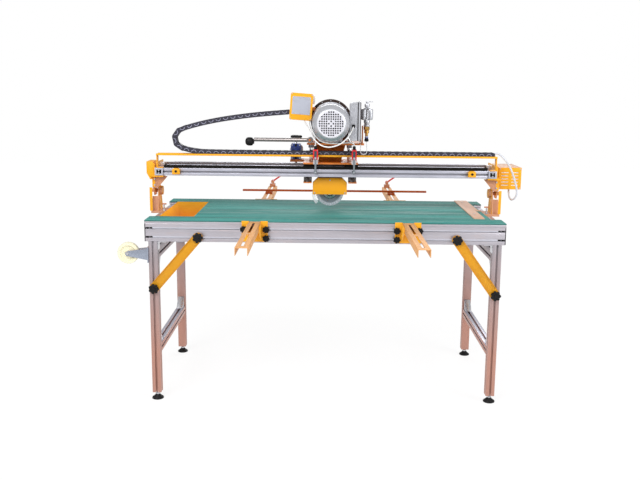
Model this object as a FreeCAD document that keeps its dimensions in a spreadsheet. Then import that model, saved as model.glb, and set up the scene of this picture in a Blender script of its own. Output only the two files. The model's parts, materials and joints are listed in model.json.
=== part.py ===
import FreeCAD, Part
import math
import os
import re
import Sketcher
from FreeCAD import Placement, Rotation, Vector

# A free-standing bridge tile cutter, in millimetres. X runs along the table, Y from the front
# to the rear, Z up from the floor. The origin is on the floor under the table's centre.

doc = FreeCAD.newDocument("TileCutter")
sheet = doc.addObject("Spreadsheet::Sheet", "Sizes")
NAMES = []
WORD = re.compile(r"[a-z_][a-z_0-9]*")
TURNS = {"x": Rotation(Vector(0, 1, 0), 90), "y": Rotation(Vector(1, 0, 0), -90), "z": Rotation()}
PLANES = {"x": "YZ_Plane", "y": "XZ_Plane", "z": "XY_Plane"}
nodes = {}


# --- helpers ---------------------------------------------------------------------------------

def sizes(**values):
    """Adds driving dimensions to the sheet, each a plain number with its own alias."""
    for name, value in values.items():
        NAMES.append(name)
        row = len(NAMES)
        sheet.set(f"A{row}", name)
        sheet.set(f"B{row}", str(value))
        sheet.setAlias(f"B{row}", name)
    sheet.recompute()


def bound(text):
    return WORD.sub(lambda m: "Sizes." + m[0] if m[0] in NAMES else m[0], str(text))


def bind(piece, prop, text):
    piece.setExpression(prop, bound(text))


def val(text):
    """The present value of an expression of the sheet's sizes."""
    return float(sheet.evalExpression(bound(text)))


def side(s, low, high):
    """A span on the right (s = 1), or the same span mirrored to the left (s = -1)."""
    return (low, high) if s > 0 else (f"-({high})", f"-({low})")


def about(centre, width):
    """A span of a given width about a centre."""
    return (f"({centre}) - ({width}) / 2", f"({centre}) + ({width}) / 2")


def on_side(s, text):
    return text if s > 0 else f"-({text})"


def block(x, y, z, name="block"):
    """A box between two corners; each axis is a (low, high) pair of expressions."""
    piece = doc.addObject("Part::Box", name)
    for prop, axis, (low, high) in zip(("Length", "Width", "Height"), "xyz", (x, y, z)):
        bind(piece, prop, f"({high}) - ({low})")
        bind(piece, f"Placement.Base.{axis}", low)
    return piece


def round_piece(kind, axis, span, centre, name):
    """A round primitive along an axis; centre gives the other two axes, in X, Y, Z order."""
    piece = doc.addObject(kind, name)
    piece.Placement = Placement(Vector(), TURNS[axis])
    bind(piece, "Height", f"({span[1]}) - ({span[0]})")
    bind(piece, f"Placement.Base.{axis}", span[0])
    for other, place in zip([a for a in "xyz" if a != axis], centre):
        bind(piece, f"Placement.Base.{other}", place)
    return piece


def rod(axis, span, centre, radius, name="rod"):
    piece = round_piece("Part::Cylinder", axis, span, centre, name)
    bind(piece, "Radius", radius)
    return piece


def cone(axis, span, centre, low_radius, high_radius, name="cone"):
    piece = round_piece("Part::Cone", axis, span, centre, name)
    bind(piece, "Radius1", low_radius)
    bind(piece, "Radius2", high_radius)
    return piece


def prism(plane, points, span, name="prism"):
    """A padded sketch: points are pairs of expressions, span lies along the plane's normal."""
    body = doc.addObject("PartDesign::Body", name)
    sketch = body.newObject("Sketcher::SketchObject", name + "_outline")
    base = [f for f in body.Origin.OriginFeatures if f.Role == PLANES[plane]][0]
    sketch.AttachmentSupport = [(base, "")]
    sketch.MapMode = "FlatFace"
    corners = [Vector(val(a), val(b), 0) for a, b in points]
    for i, corner in enumerate(corners):
        sketch.addGeometry(Part.LineSegment(corner, corners[(i + 1) % len(corners)]))
    for i, (a, b) in enumerate(points):
        last = (i - 1) % len(points)
        sketch.addConstraint(Sketcher.Constraint("Coincident", last, 2, i, 1))
        for kind, text in (("DistanceX", a), ("DistanceY", b)):
            k = sketch.addConstraint(Sketcher.Constraint(kind, -1, 1, i, 1, val(text)))
            bind(sketch, f"Constraints[{k}]", text)
    pad = body.newObject("PartDesign::Pad", name + "_pad")
    pad.Profile = sketch
    bind(pad, "Length", f"({span[1]}) - ({span[0]})")
    bind(sketch, "AttachmentOffset.Base.z", f"-({span[1]})" if plane == "y" else span[0])
    return body


def join(pieces, name="join"):
    if len(pieces) == 1:
        return pieces[0]
    piece = doc.addObject("Part::MultiFuse", name)
    piece.Shapes = pieces
    return piece


def cut(base, tools, name="cut"):
    piece = doc.addObject("Part::Cut", name)
    piece.Base = base
    piece.Tool = join(tools, name + "_tools")
    return piece


def turned(pieces, axis, degrees, at, name="turned"):
    """Pieces turned together about a point; at is three expressions."""
    whole = doc.addObject("Part::Compound", name)
    whole.Links = pieces
    centre = Vector(*[val(a) for a in at])
    spin = Rotation(Vector(*axis), degrees)
    whole.Placement = Placement(centre - spin.multVec(centre), spin)
    return whole


def node(name, pieces):
    """Adds solids to a named sub-part of the machine, which may be one solid or several."""
    if name not in nodes:
        nodes[name] = doc.addObject("Part::Compound", "node_" + name)
        nodes[name].Label = name
    nodes[name].Links = nodes[name].Links + pieces


def profile_bar(axis, spans, slots, name):
    """An aluminium bar with T-slots: slots are (face axis, 1 or -1, centre, other axis)."""
    tools = []
    for face, sense, centre in slots:
        across = [a for a in "xyz" if a not in (axis, face)][0]
        surface = spans[face][1] if sense > 0 else spans[face][0]
        for width, deep in (("slot_width", "slot_lip + 1"), ("slot_room", "slot_depth")):
            start = "0" if width == "slot_width" else "slot_lip"
            box = dict(spans)
            box[across] = about(centre, width)
            low, high = f"({surface}) - ({deep})", f"({surface}) - ({start})"
            if sense < 0:
                low, high = f"({surface}) + ({start})", f"({surface}) + ({deep})"
            box[face] = (low, high)
            tools.append(block(box["x"], box["y"], box["z"], name + "_slot"))
    bar = block(spans["x"], spans["y"], spans["z"], name + "_bar")
    return cut(bar, tools, name) if tools else bar


def star_knob(axis, face, sense, centre, radius, name):
    """A star-headed clamp knob that stands on a face, pointing along its axis by sense."""
    span = (face, f"({face}) + knob_height")
    if sense < 0:
        span = (f"({face}) - knob_height", face)
    pieces = [rod(axis, span, centre, f"({radius}) * 0.82", name)]
    for k in range(LOBES):
        turn = 360 / LOBES * k
        spot = [f"({c}) + ({radius}) * 0.78 * {f}({turn} deg)" for c, f in zip(centre, ("cos", "sin"))]
        pieces.append(rod(axis, span, spot, f"({radius}) * 0.22", name + "_lobe"))
    return join(pieces, name + "_star")


def tube_path(points):
    """Straight runs joined by tangent arcs as large as the runs allow, and the arcs' radii."""
    edges, radii, start = [], [], points[0]
    for a, b, c in zip(points, points[1:], points[2:]):
        before, after = (b - a), (c - b)
        half = before.getAngle(after) / 2
        reach = 0.45 * min(before.Length, after.Length)
        radii.append(round(reach / math.tan(half), 1))
        first = b - before.normalize() * reach
        last = b + after.normalize() * reach
        middle_way = (first + last) * 0.5 - b
        radius = reach / math.tan(half)
        middle = b + middle_way.normalize() * (radius / math.cos(half) - radius)
        edges.append(Part.LineSegment(start, first).toShape())
        edges.append(Part.Arc(first, middle, last).toShape())
        start = last
    edges.append(Part.LineSegment(start, points[-1]).toShape())
    return edges, radii


def cord(name, points, radius):
    """A cord's solid: a round section swept along its route, given by hand-chosen points."""
    edges, radii = tube_path([Vector(*p) for p in points])
    wire = Part.Wire(edges)
    ends = points[0], points[1]
    ring = Part.Circle(Vector(*ends[0]), Vector(*ends[1]) - Vector(*ends[0]), val(radius))
    shape = wire.makePipeShell([Part.Wire(ring.toShape())], True, False)
    want = math.pi * val(radius) ** 2 * wire.Length
    print(f"{name}: length {wire.Length:.1f}, radii {radii}, volume/expected {shape.Volume / want:.4f}")
    piece = doc.addObject("Part::Feature", "node_" + name)
    piece.Shape = shape
    piece.Label = name
    nodes[name] = piece


# --- the table -------------------------------------------------------------------------------

LOBES = 7
SIDES = ((-1, "left"), (1, "right"))
ENDS = ((-1, "front"), (1, "rear"))

sizes(
    table_length=1800, table_depth=800, table_top=940, plank_height=11, rubber=6,
    beam_height=90, profile=45, end_cap=5, play=0.5,
    slot_width=10, slot_lip=4.5, slot_room=18, slot_depth=12, slot_pitch=45,
    plank_gap=2, blade_groove=10, cross_beam_place=280,
    well_inset=50, well_width=177, well_notch=8, well_depth=70, well_wall=2, well_floor=60, drain_radius=12,
    plank_inset=52,
)
PLANK_STOP = "(table_length / 2 - plank_inset)"
WELL_LEFT = "(table_length / 2 - well_inset)"
WELL_RIGHT = f"({WELL_LEFT} - well_width)"
BEAM_TOP = "(table_top - rubber - plank_height)"
BEAM_LOW = f"({BEAM_TOP} - beam_height)"
HALF = "table_length / 2"
EDGE = "table_depth / 2"
PLANK = "(table_depth / 6)"
LOW_SLOT = f"({BEAM_LOW} + (beam_height - slot_pitch) / 2)"
HIGH_SLOT = f"({LOW_SLOT} + slot_pitch)"


def table_frame():
    along = side(1, f"-({HALF} - end_cap)", f"{HALF} - end_cap")
    for s, name in ENDS:
        spans = {"x": along, "y": side(s, f"{EDGE} - profile", EDGE), "z": (BEAM_LOW, BEAM_TOP)}
        slots = [("y", s, LOW_SLOT), ("y", s, HIGH_SLOT), ("y", -s, LOW_SLOT), ("y", -s, HIGH_SLOT)]
        slots.append(("z", -1, on_side(s, f"{EDGE} - profile / 2")))
        node("long_beams", [profile_bar("x", spans, slots, name + "_bar")])
    across = (f"-({EDGE} - profile)", f"{EDGE} - profile")
    ends = []
    for s, name in SIDES:
        spans = {"x": side(s, f"{HALF} - end_cap - profile", f"{HALF} - end_cap"), "y": across,
                 "z": (BEAM_LOW, BEAM_TOP)}
        slots = [("x", s, LOW_SLOT), ("x", s, HIGH_SLOT)]
        ends.append(profile_bar("y", spans, slots, name + "_end_beam"))
    node("cross_beams", ends)
    middle = []
    for s, name in SIDES:
        spans = {"x": about(on_side(s, "cross_beam_place"), "profile"), "y": across,
                 "z": (f"{BEAM_TOP} - profile", BEAM_TOP)}
        slots = [("z", -1, on_side(s, "cross_beam_place"))]
        middle.append(profile_bar("y", spans, slots, name + "_cross_beam"))
    node("cross_beams", middle)
    caps = []
    for s, _ in SIDES:
        for t, _ in ENDS:
            caps.append(block(side(s, f"{HALF} - end_cap", HALF), side(t, f"{EDGE} - profile", EDGE),
                              (BEAM_LOW, BEAM_TOP), "cap"))
    node("long_beams", caps)


def table_surface():
    planks, rubbers = [], []
    top = f"{BEAM_TOP} + plank_height"
    for i in range(6):
        low, high = f"{PLANK} * {i - 3} + plank_gap / 2", f"{PLANK} * {i - 2} - plank_gap / 2"
        if i == 2:
            high = "-blade_groove / 2"
        if i == 3:
            low = "blade_groove / 2"
        left, right = f"-({HALF})", HALF
        if 0 < i < 5:
            left, right = f"-{WELL_RIGHT} + 1", PLANK_STOP
        planks.append(block((left, right), (low, high), (BEAM_TOP, top), "plank"))
        rubbers.append(block((left, right), (low, high), (top, "table_top"), "rubber"))
    node("table_planks", planks)
    node("rubber_pads", rubbers)


def wedge(x, y, z, x_low, y_low, name):
    """A four-sided funnel: x and y are its mouth, x_low and y_low its floor."""
    piece = doc.addObject("Part::Wedge", name)
    piece.Placement = Placement(Vector(), Rotation(Vector(1, 0, 0), 90))
    for prop, text in (("Xmin", x_low[0]), ("Xmax", x_low[1]), ("X2min", x[0]), ("X2max", x[1]),
                       ("Zmin", f"-({y_low[1]})"), ("Zmax", f"-({y_low[0]})"),
                       ("Z2min", f"-({y[1]})"), ("Z2max", f"-({y[0]})"),
                       ("Ymin", z[0]), ("Ymax", z[1])):
        bind(piece, prop, text)
    return piece


def water_well():
    y = f"{PLANK} * 2 - plank_gap"
    floor = "table_top - well_depth"
    x_mid = f"-({WELL_LEFT} + {WELL_RIGHT}) / 2"
    mouth_x, mouth_y = (f"-{WELL_LEFT} + well_wall", f"-{WELL_RIGHT} - well_wall"), (f"-({y}) + well_wall",
                                                                                     f"{y} - well_wall")
    outer = wedge((f"-{WELL_LEFT}", f"-{WELL_RIGHT}"), (f"-({y})", y), (f"{floor} - well_wall", "table_top"),
                  about(x_mid, "well_floor + 2 * well_wall"), about("0",
                                                                    "well_floor + 2 * well_wall"),
                                                                    "well_outer")
    inner = wedge(mouth_x, mouth_y, (floor, "table_top + 1"), about(x_mid, "well_floor"),
                  about("0", "well_floor"), "well_inner")
    drain = rod("z", (f"{floor} - well_wall - 1", f"{floor} + 1"), (x_mid, "0"), "drain_radius", "drain")
    notch = block((f"-{WELL_RIGHT} - well_notch", f"-{WELL_RIGHT} + 1"), about("0", "blade_groove"),
                  ("table_top - well_notch", "table_top + 1"), "blade_notch")
    node("water_well", [cut(outer, [inner, drain, notch], "well")])


sizes(
    arm_left=350, arm_right=412, arm_width=56, arm_reach=670, arm_wall=3, arm_flange=35,
    arm_slot=12, arm_slot_bridge=30, arm_slot_end=40,
    bracket_width=130, bracket_height=104, bracket_sheet=5, bracket_reach=110, bracket_rise=2,
    knob_small=19, knob_height=16, knob_spread=56, stud_radius=4, nut_width=7,
)
ARM_LOW = "(table_top - arm_flange)"
BRACKET_TOP = "(table_top + bracket_rise)"
ARMS = ((-1, "-arm_left"), (1, "arm_right"))


def channel_arms():
    """Four channels that carry tiles past the table, and the brackets that hold them."""
    for t, _ in ENDS:
        arms, brackets = [], []
        near, far = f"{EDGE} + bracket_sheet", f"{EDGE} + arm_reach"
        for s, x in ARMS:
            y = side(t, near, far)
            arm = block(about(x, "arm_width"), y, (ARM_LOW, "table_top"), "arm")
            inner = about(x, "arm_width - 2 * arm_wall")
            hollow = block(inner, y, (f"{ARM_LOW} - 1", "table_top - arm_wall"), "hollow")
            middle = f"({near} + {far}) / 2"
            slots = []
            for low, high in ((f"{near} + arm_slot_end", f"{middle} - arm_slot_bridge / 2"),
                              (f"{middle} + arm_slot_bridge / 2", f"{far} - arm_slot_end")):
                slots.append(block(about(x, "arm_slot"), side(t, low, high),
                                   ("table_top - arm_wall - 1", "table_top + 1"), "arm_slot"))
            arms.append(cut(arm, [hollow] + slots, "channel"))
            brackets.append(arm_bracket(s, t, x))
        node("channel_arms", arms)
        node("arm_brackets", brackets)


def knob_spots(s, x):
    """The three places of a bracket's clamp knobs, in the beam's two slots."""
    return [(f"{x} - knob_spread", HIGH_SLOT), (f"{x} + knob_spread", HIGH_SLOT),
            (f"{x} - ({s}) * knob_spread", LOW_SLOT)]


def arm_bracket(s, t, x):
    """A plate on the beam with a tapered cradle under the arm."""
    plate = block(about(x, "bracket_width"), side(t, EDGE, f"{EDGE} + bracket_sheet"),
                  (f"{BRACKET_TOP} - bracket_height", f"{ARM_LOW} - play"), "bracket_plate")
    ears = []
    for low, high in ((f"{x} - bracket_width / 2", f"{x} - arm_width / 2 - play"),
                      (f"{x} + arm_width / 2 + play", f"{x} + bracket_width / 2")):
        ears.append(block((low, high), side(t, EDGE, f"{EDGE} + bracket_sheet"),
                          (f"{ARM_LOW} - play - 1", BRACKET_TOP), "bracket_ear"))
    cheeks = []
    for sense in (-1, 1):
        inner = f"arm_width / 2 + play"
        span = side(sense, inner, f"{inner} + bracket_sheet")
        points = [(on_side(t, EDGE), f"{BRACKET_TOP} - bracket_height + 6"),
                  (on_side(t, f"{EDGE} + bracket_reach"), f"{ARM_LOW} + 4"),
                  (on_side(t, f"{EDGE} + bracket_reach"), "table_top - 6"),
                  (on_side(t, EDGE), "table_top - 6")]
        cheeks.append(prism("x", points, (f"{x} + ({span[0]})", f"{x} + ({span[1]})"), "cheek"))
    cradle = block(about(x, "arm_width + 2 * play + 2"), side(t, EDGE, f"{EDGE} + bracket_reach"),
                   (f"{ARM_LOW} - play - bracket_sheet", f"{ARM_LOW} - play"), "cradle")
    holes = [rod("y", side(t, f"{EDGE} - 1", f"{EDGE} + bracket_sheet + 1"), spot, "stud_radius + play",
                 "stud_hole")
             for spot in knob_spots(s, x)]
    return cut(join([plate, cradle] + ears + cheeks, "arm_bracket"), holes, "arm_bracket_drilled")


def bracket_knobs():
    """Star knobs, each with its stud and the nut that it pulls against in the beam's slot."""
    for t, _ in ENDS:
        knobs, nuts = [], []
        for s, x in ARMS:
            for a, b in knob_spots(s, x):
                face = on_side(t, f"{EDGE} + bracket_sheet")
                knob = star_knob("y", face, t, (a, b), "knob_small", "bracket_knob")
                stud = rod("y", side(t, f"{EDGE} - slot_lip", f"{EDGE} + bracket_sheet + 1"), (a, b),
                           "stud_radius", "stud")
                knobs.append(join([knob, stud], "bracket_knob_and_stud"))
                nuts.append(block(about(a, "slot_room - 2"),
                                  side(t, f"{EDGE} - slot_lip - nut_width", f"{EDGE} - slot_lip"),
                                  about(b, "slot_room - 2"), "slot_nut"))
        node("bracket_knobs", knobs)
        node("bracket_knobs", nuts)


# --- fences, clamps and posts on the table ----------------------------------------------------

sizes(
    side_fence_inset=137, side_fence_width=73, side_fence_narrow=18, side_fence_sheet=5, side_fence_front=260,
    side_fence_joint=10, side_fence_ear=14, screw_radius=5, screw_head=3, screw_shank=3,
    fence_left=515, fence_right=632, fence_place=270, fence_bar=12, fence_foot_height=14,
    fence_foot_length=60, fence_foot_width=40, clamp_place=625, clamp_base=36, clamp_base_height=22,
    clamp_lever=95, clamp_lever_radius=5, clamp_pin=4, clamp_tilt=35, clamp_fork=9,
)
FENCE_INNER = "(table_length / 2 - side_fence_inset)"
FENCE_OUTER = f"({FENCE_INNER} + side_fence_width)"
FENCE_Y = f"({EDGE} + fence_place)"
CLAMP_Y = f"({EDGE} + clamp_place)"


def side_fence():
    """Two flat plates screwed to the table's surface, with an ear at their joint."""
    plates, screws = [], []
    z = ("table_top", "table_top + side_fence_sheet")
    for low, high, right, spot in (
            ("-side_fence_front", "side_fence_joint - 1", f"{FENCE_OUTER} - side_fence_narrow",
             "-side_fence_front * 0.45"),
            ("side_fence_joint + 1", f"{EDGE} - 1", FENCE_OUTER, f"{EDGE} * 0.8")):
        plate = block((FENCE_INNER, right), (low, high), z, "fence_plate")
        centre = (f"({FENCE_INNER} + {right}) / 2", spot)
        hole = rod("z", ("table_top - 1", f"{z[1]} + 1"), centre, "screw_shank + 0.3", "hole")
        plates.append(cut(plate, [hole], "fence_plate_drilled"))
        head = rod("z", (z[1], f"{z[1]} + screw_head"), centre, "screw_radius", "screw")
        shank = rod("z", ("table_top + 0.1", f"{z[1]} + 1"), centre, "screw_shank", "shank")
        screws.append(join([head, shank], "fence_screw"))
    ear = block((f"{FENCE_OUTER} - 1", f"{FENCE_OUTER} + side_fence_ear"),
                ("side_fence_joint + 1", "side_fence_joint + 1 + side_fence_ear"), z, "fence_ear")
    node("side_fence", [plates[0], join([plates[1], ear], "eared")])
    node("side_fence", screws)


def rear_fence():
    """A square bar that slides along the rear arms on two feet."""
    low = "table_top + play"
    bar_low = f"{low} + fence_foot_height"
    bar = block(("-fence_left", "fence_right"), about(FENCE_Y, "fence_bar"),
                (bar_low, f"{bar_low} + fence_bar"), "fence_bar_piece")
    node("rear_fence", [bar])
    feet = []
    for _, x in ARMS:
        feet.append(block(about(x, "fence_foot_width"), about(FENCE_Y, "fence_foot_length"),
                          (low, bar_low), "fence_foot"))
    node("rear_fence", feet)


def arm_clamps():
    """Lever clamps near the ends of the rear arms; each lever swings on a pin in its base."""
    bases = []
    for (s, x), (_, name) in zip(ARMS, SIDES):
        top = "table_top + clamp_base_height"
        base = block(about(x, "clamp_base"), about(CLAMP_Y, "clamp_base"), ("table_top", top), "base")
        cheeks = []
        for sense in (-1, 1):
            low, high = side(sense, "clamp_fork + play", "clamp_fork + play + 4")
            cheeks.append(block(about(x, "clamp_base / 2"),
                                (f"{CLAMP_Y} + ({low})", f"{CLAMP_Y} + ({high})"),
                                (f"{top} - 1", f"{top} + 22"), "cheek"))
        pin = rod("y", about(CLAMP_Y, "2 * clamp_fork + 2 * play + 2"), (x, f"{top} + 14"), "clamp_pin",
                  "pin")
        bases.append(join([base] + cheeks + [pin], "clamp_base_whole"))
        hub = rod("y", about(CLAMP_Y, "2 * clamp_fork - 1"), (x, f"{top} + 14"), "clamp_pin + 3.5",
                  "hub")
        handle = rod("x", (x, f"{x} + clamp_lever"), (CLAMP_Y, f"{top} + 14"), "clamp_lever_radius",
                     "handle")
        bore = rod("y", about(CLAMP_Y, "2 * clamp_fork + 2"), (x, f"{top} + 14"), "clamp_pin + 0.05",
                   "bore")
        handle = turned([handle], (0, 1, 0), -val("clamp_tilt"), (x, CLAMP_Y, f"{top} + 14"))
        node(name + "_clamp_lever", [cut(join([hub, handle], "lever"), [bore], "lever_bored")])
    node("table_fittings", bases)


sizes(
    tilt_height=1040, post_inset=12, post_width=48, post_depth=120, post_wall=6,
    post_foot=12, boss_radius=24, pivot_radius=10, pivot_fit=0.05,
)
POST_INNER = "(table_length / 2 - post_inset)"
POST_OUTER = f"({POST_INNER} + post_width)"


def pivot_posts():
    """Posts on the end beams that carry the bridge's pivots."""
    for s, _ in SIDES:
        foot = block(side(s, f"{PLANK_STOP} + 2", POST_OUTER), about("0", "post_depth"),
                     (BEAM_TOP, f"{BEAM_TOP} + post_foot"), "foot")
        points = [("-post_depth / 2", f"{BEAM_TOP} + post_foot - 1"),
                  ("post_depth / 2", f"{BEAM_TOP} + post_foot - 1"),
                  ("post_depth / 4", "tilt_height + boss_radius"), ("-post_depth / 4",
                                                                    "tilt_height + boss_radius")]
        wall = prism("x", points, side(s, f"{POST_INNER} + 8", f"{POST_INNER} + 8 + post_wall"),
                     "post_wall_plate")
        front = [(on_side(s, POST_INNER), f"{BEAM_TOP} + post_foot - 1"),
                 (on_side(s, POST_OUTER), f"{BEAM_TOP} + post_foot - 1"),
                 (on_side(s, f"{POST_OUTER} - 6"), "tilt_height - boss_radius - 4"),
                 (on_side(s, f"{POST_INNER} + 3"), "tilt_height - boss_radius - 4")]
        face = prism("y", front, ("-post_depth / 2 + 20", "-post_depth / 2 + 20 + post_wall"), "post_face")
        boss = rod("x", side(s, f"{POST_INNER} - 8", f"{POST_INNER} + 9"), ("0", "tilt_height"),
                   "boss_radius", "boss")
        pin = rod("x", side(s, f"{POST_INNER} + 8", f"{POST_OUTER} + 6"), ("0", "tilt_height"),
                  "pivot_radius", "pin")
        node("pivot_posts", [join([foot, wall, face, boss, pin], "post")])


# --- the folding legs ------------------------------------------------------------------------

sizes(
    leg_inset=40, hinge_offset=6, hinge_leaf=5, hinge_barrel=5.4, hinge_width=40, hinge_reach=36,
    foot_height=24, foot_radius=30, foot_stud=6, leg_foot_gap=14, stud_top=70,
    high_bar=90, low_bar_height=270, gusset=60, gusset_sheet=5,
    left_brace_foot=592, right_brace_foot=574, brace_length=347, brace_width=50, brace_sheet=5,
    brace_fold=3, brace_edge=12, knob_large=28, brace_gap=0.5,
    caster_wheel=54, caster_width=30, caster_reach=105, caster_height=770, caster_axle=6,
    caster_fork=5, caster_plate=80, caster_sheet=5, caster_gap=3,
)
LEG_PLACE = "(table_length / 2 - leg_inset)"
HINGE_X = f"({LEG_PLACE} - profile / 2 - hinge_offset)"
HINGE_Z = f"({BEAM_LOW} - hinge_offset)"
LEG_Y = f"({EDGE} - profile / 2)"
LEG_BOTTOM = "(foot_height + leg_foot_gap)"


def leg_set(s, name):
    """A folding pair of legs with its cross bars, corner brackets, hinges and levelling feet."""
    x = side(s, f"{LEG_PLACE} - profile / 2", f"{LEG_PLACE} + profile / 2")
    bars = []
    for t, _ in ENDS:
        spans = {"x": x, "y": side(t, f"{EDGE} - profile", EDGE), "z": (LEG_BOTTOM, f"{BEAM_LOW} - play")}
        slots = [("y", t, on_side(s, LEG_PLACE)), ("x", s, on_side(t, LEG_Y)), ("x", -s, on_side(t, LEG_Y))]
        leg = profile_bar("z", spans, slots, name + "_leg")
        hole = rod("z", (f"{LEG_BOTTOM} - 1", "stud_top + 2"), (on_side(s, LEG_PLACE), on_side(t, LEG_Y)),
                   "foot_stud + 0.05", "stud_hole")
        bars.append(cut(leg, [hole], name + "_leg_drilled"))
    across = (f"-({EDGE} - profile)", f"{EDGE} - profile")
    high = {"x": x, "y": across, "z": (f"{BEAM_LOW} - play - high_bar", f"{BEAM_LOW} - play")}
    low = {"x": x, "y": across, "z": about("low_bar_height", "profile")}
    middle = f"{BEAM_LOW} - play - high_bar / 2"
    bars.append(profile_bar("y", high, [("x", s, f"{middle} - slot_pitch / 2"),
                                        ("x", s, f"{middle} + slot_pitch / 2"),
                                        ("x", -s, f"{middle} - slot_pitch / 2"),
                                        ("x", -s, f"{middle} + slot_pitch / 2"), ("z", -1,
                                                                                  on_side(s, LEG_PLACE))],
                            name + "_high_bar"))
    bars.append(profile_bar("y", low, [("x", s, "low_bar_height"), ("x", -s, "low_bar_height"),
                                       ("z", 1, on_side(s, LEG_PLACE))], name + "_low_bar"))
    node(name + "_leg_frame", bars)
    corners = []
    for t, _ in ENDS:
        for z, up in (("low_bar_height + profile / 2", 1), (f"{BEAM_LOW} - play - high_bar", -1)):
            y = f"{EDGE} - profile"
            points = [(on_side(t, y), z), (on_side(t, f"{y} - gusset"), z),
                      (on_side(t, f"{y} - gusset"), f"{z} + ({up}) * gusset_sheet"),
                      (on_side(t, f"{y} - gusset_sheet"), f"{z} + ({up}) * gusset"), (on_side(t, y),
                                                                                      f"{z} + ({up}) * gusset")]
            corners.append(prism("x", points, about(on_side(s, LEG_PLACE), "profile - 10"), "corner"))
    node(name + "_leg_fittings", corners)
    node(name + "_leg_fittings", [leg_hinge(s, t, False) for t, _ in ENDS])
    for t, end in ENDS:
        centre = (on_side(s, LEG_PLACE), on_side(t, LEG_Y))
        pad = rod("z", ("0", "foot_height * 0.4"), centre, "foot_radius", "foot_pad")
        dome = cone("z", ("foot_height * 0.4", "foot_height"), centre, "foot_radius", "foot_radius * 0.45",
                    "foot_dome")
        stud = rod("z", ("foot_height - 1", "stud_top"), centre, "foot_stud", "foot_stud_rod")
        nut = rod("z", ("foot_height", "foot_height + 8"), centre, "foot_stud * 1.7", "foot_nut")
        node(f"{name}_{end}_foot", [join([pad, dome, stud, nut], "foot_whole")])


def leg_hinge(s, t, fixed):
    """One leaf of a butt hinge, with its share of the barrel about the fold axis."""
    y = on_side(t, LEG_Y)
    third = "hinge_width / 3"
    if fixed:
        z = (f"{BEAM_LOW} - hinge_leaf", BEAM_LOW)
        inner = f"{HINGE_X} - hinge_barrel - play"
        pieces = [block(side(s, f"{HINGE_X} - hinge_reach", inner), about(y, "hinge_width"), z, "fixed_leaf")]
        for span in ((f"{y} + {third} / 2", f"{y} + hinge_width / 2"),
                     (f"{y} - hinge_width / 2", f"{y} - {third} / 2")):
            pieces.append(block(side(s, f"{inner} - 1", HINGE_X), span, z, "fixed_tab"))
            pieces.append(rod("y", span, (on_side(s, HINGE_X), HINGE_Z), "hinge_barrel", "knuckle"))
        return join(pieces, "fixed_half")
    inner = f"{HINGE_X} + hinge_offset"
    leaf = block(side(s, f"{inner} - hinge_leaf", inner), about(y, f"{third} - 2 * play"),
                 (f"{HINGE_Z} - hinge_reach", f"{HINGE_Z} + 1"), "moving_leaf")
    wide = block(side(s, f"{inner} - hinge_leaf", inner), about(y, "hinge_width"),
                 (f"{HINGE_Z} - hinge_reach", f"{HINGE_Z} - hinge_barrel - play"), "moving_plate")
    knuckle = rod("y", about(y, f"{third} - 2 * play"), (on_side(s, HINGE_X), HINGE_Z), "hinge_barrel",
                  "knuckle")
    return join([leaf, wide, knuckle], "moving_half")


def fixed_hinges():
    node("table_fittings", [leg_hinge(s, t, True) for s, _ in SIDES for t, _ in ENDS])


def brace(s, name, foot):
    """A folded steel brace, its two star knobs, and the nuts in the leg's and beam's slots."""
    rise = f"({LOW_SLOT} - {foot})"
    run = f"sqrt(brace_length ^ 2 - {rise} ^ 2)"
    leg = (on_side(s, LEG_PLACE), foot)
    face = f"-({EDGE} + brace_gap)"
    y = (f"{face} - brace_sheet", face)
    web = block((leg[0], f"{leg[0]} + brace_length"), y, about(foot, "brace_width"), "web")
    ends = [rod("y", y, (leg[0], foot), "brace_width / 2", "end"),
            rod("y", y, (f"{leg[0]} + brace_length", foot), "brace_width / 2", "end")]
    folds = []
    for sense in (-1, 1):
        low, high = side(sense, "brace_width / 2 - brace_fold", "brace_width / 2")
        folds.append(block((f"{leg[0]} + knob_large + 3", f"{leg[0]} + brace_length - knob_large - 3"),
                           (f"{face} - brace_edge", face),
                           (f"{foot} + ({low})", f"{foot} + ({high})"), "fold"))
    hole = rod("y", (f"{y[0]} - 1", f"{y[1]} + 1"), (leg[0], foot), "stud_radius + 0.5", "brace_hole")
    angle = math.degrees(math.asin(val(rise) / val("brace_length")))
    flat = cut(join([web] + ends + folds, "brace_flat"), [hole], "brace_drilled")
    lean = -angle if s < 0 else angle - 180
    node(name + "_brace", [turned([flat], (0, 1, 0), lean, (leg[0], "0", foot), "brace_leaning")])
    top = (f"{leg[0]} - ({s}) * {run}", LOW_SLOT)
    front = f"{face} - brace_sheet"
    node(name + "_brace", [star_knob("y", front, -1, top, "knob_large", "top_knob")])
    stud = rod("y", (f"{front} - 1", f"-({EDGE} - slot_lip)"), leg, "stud_radius", "leg_stud")
    knob = star_knob("y", f"{front} - play", -1, leg, "knob_large", "leg_knob")
    node(name + "_leg_fittings", [join([knob, stud], "leg_knob_whole")])
    print(name, "brace angle", round(angle, 2), "top knob x", round(val(top[0]), 2))


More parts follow.
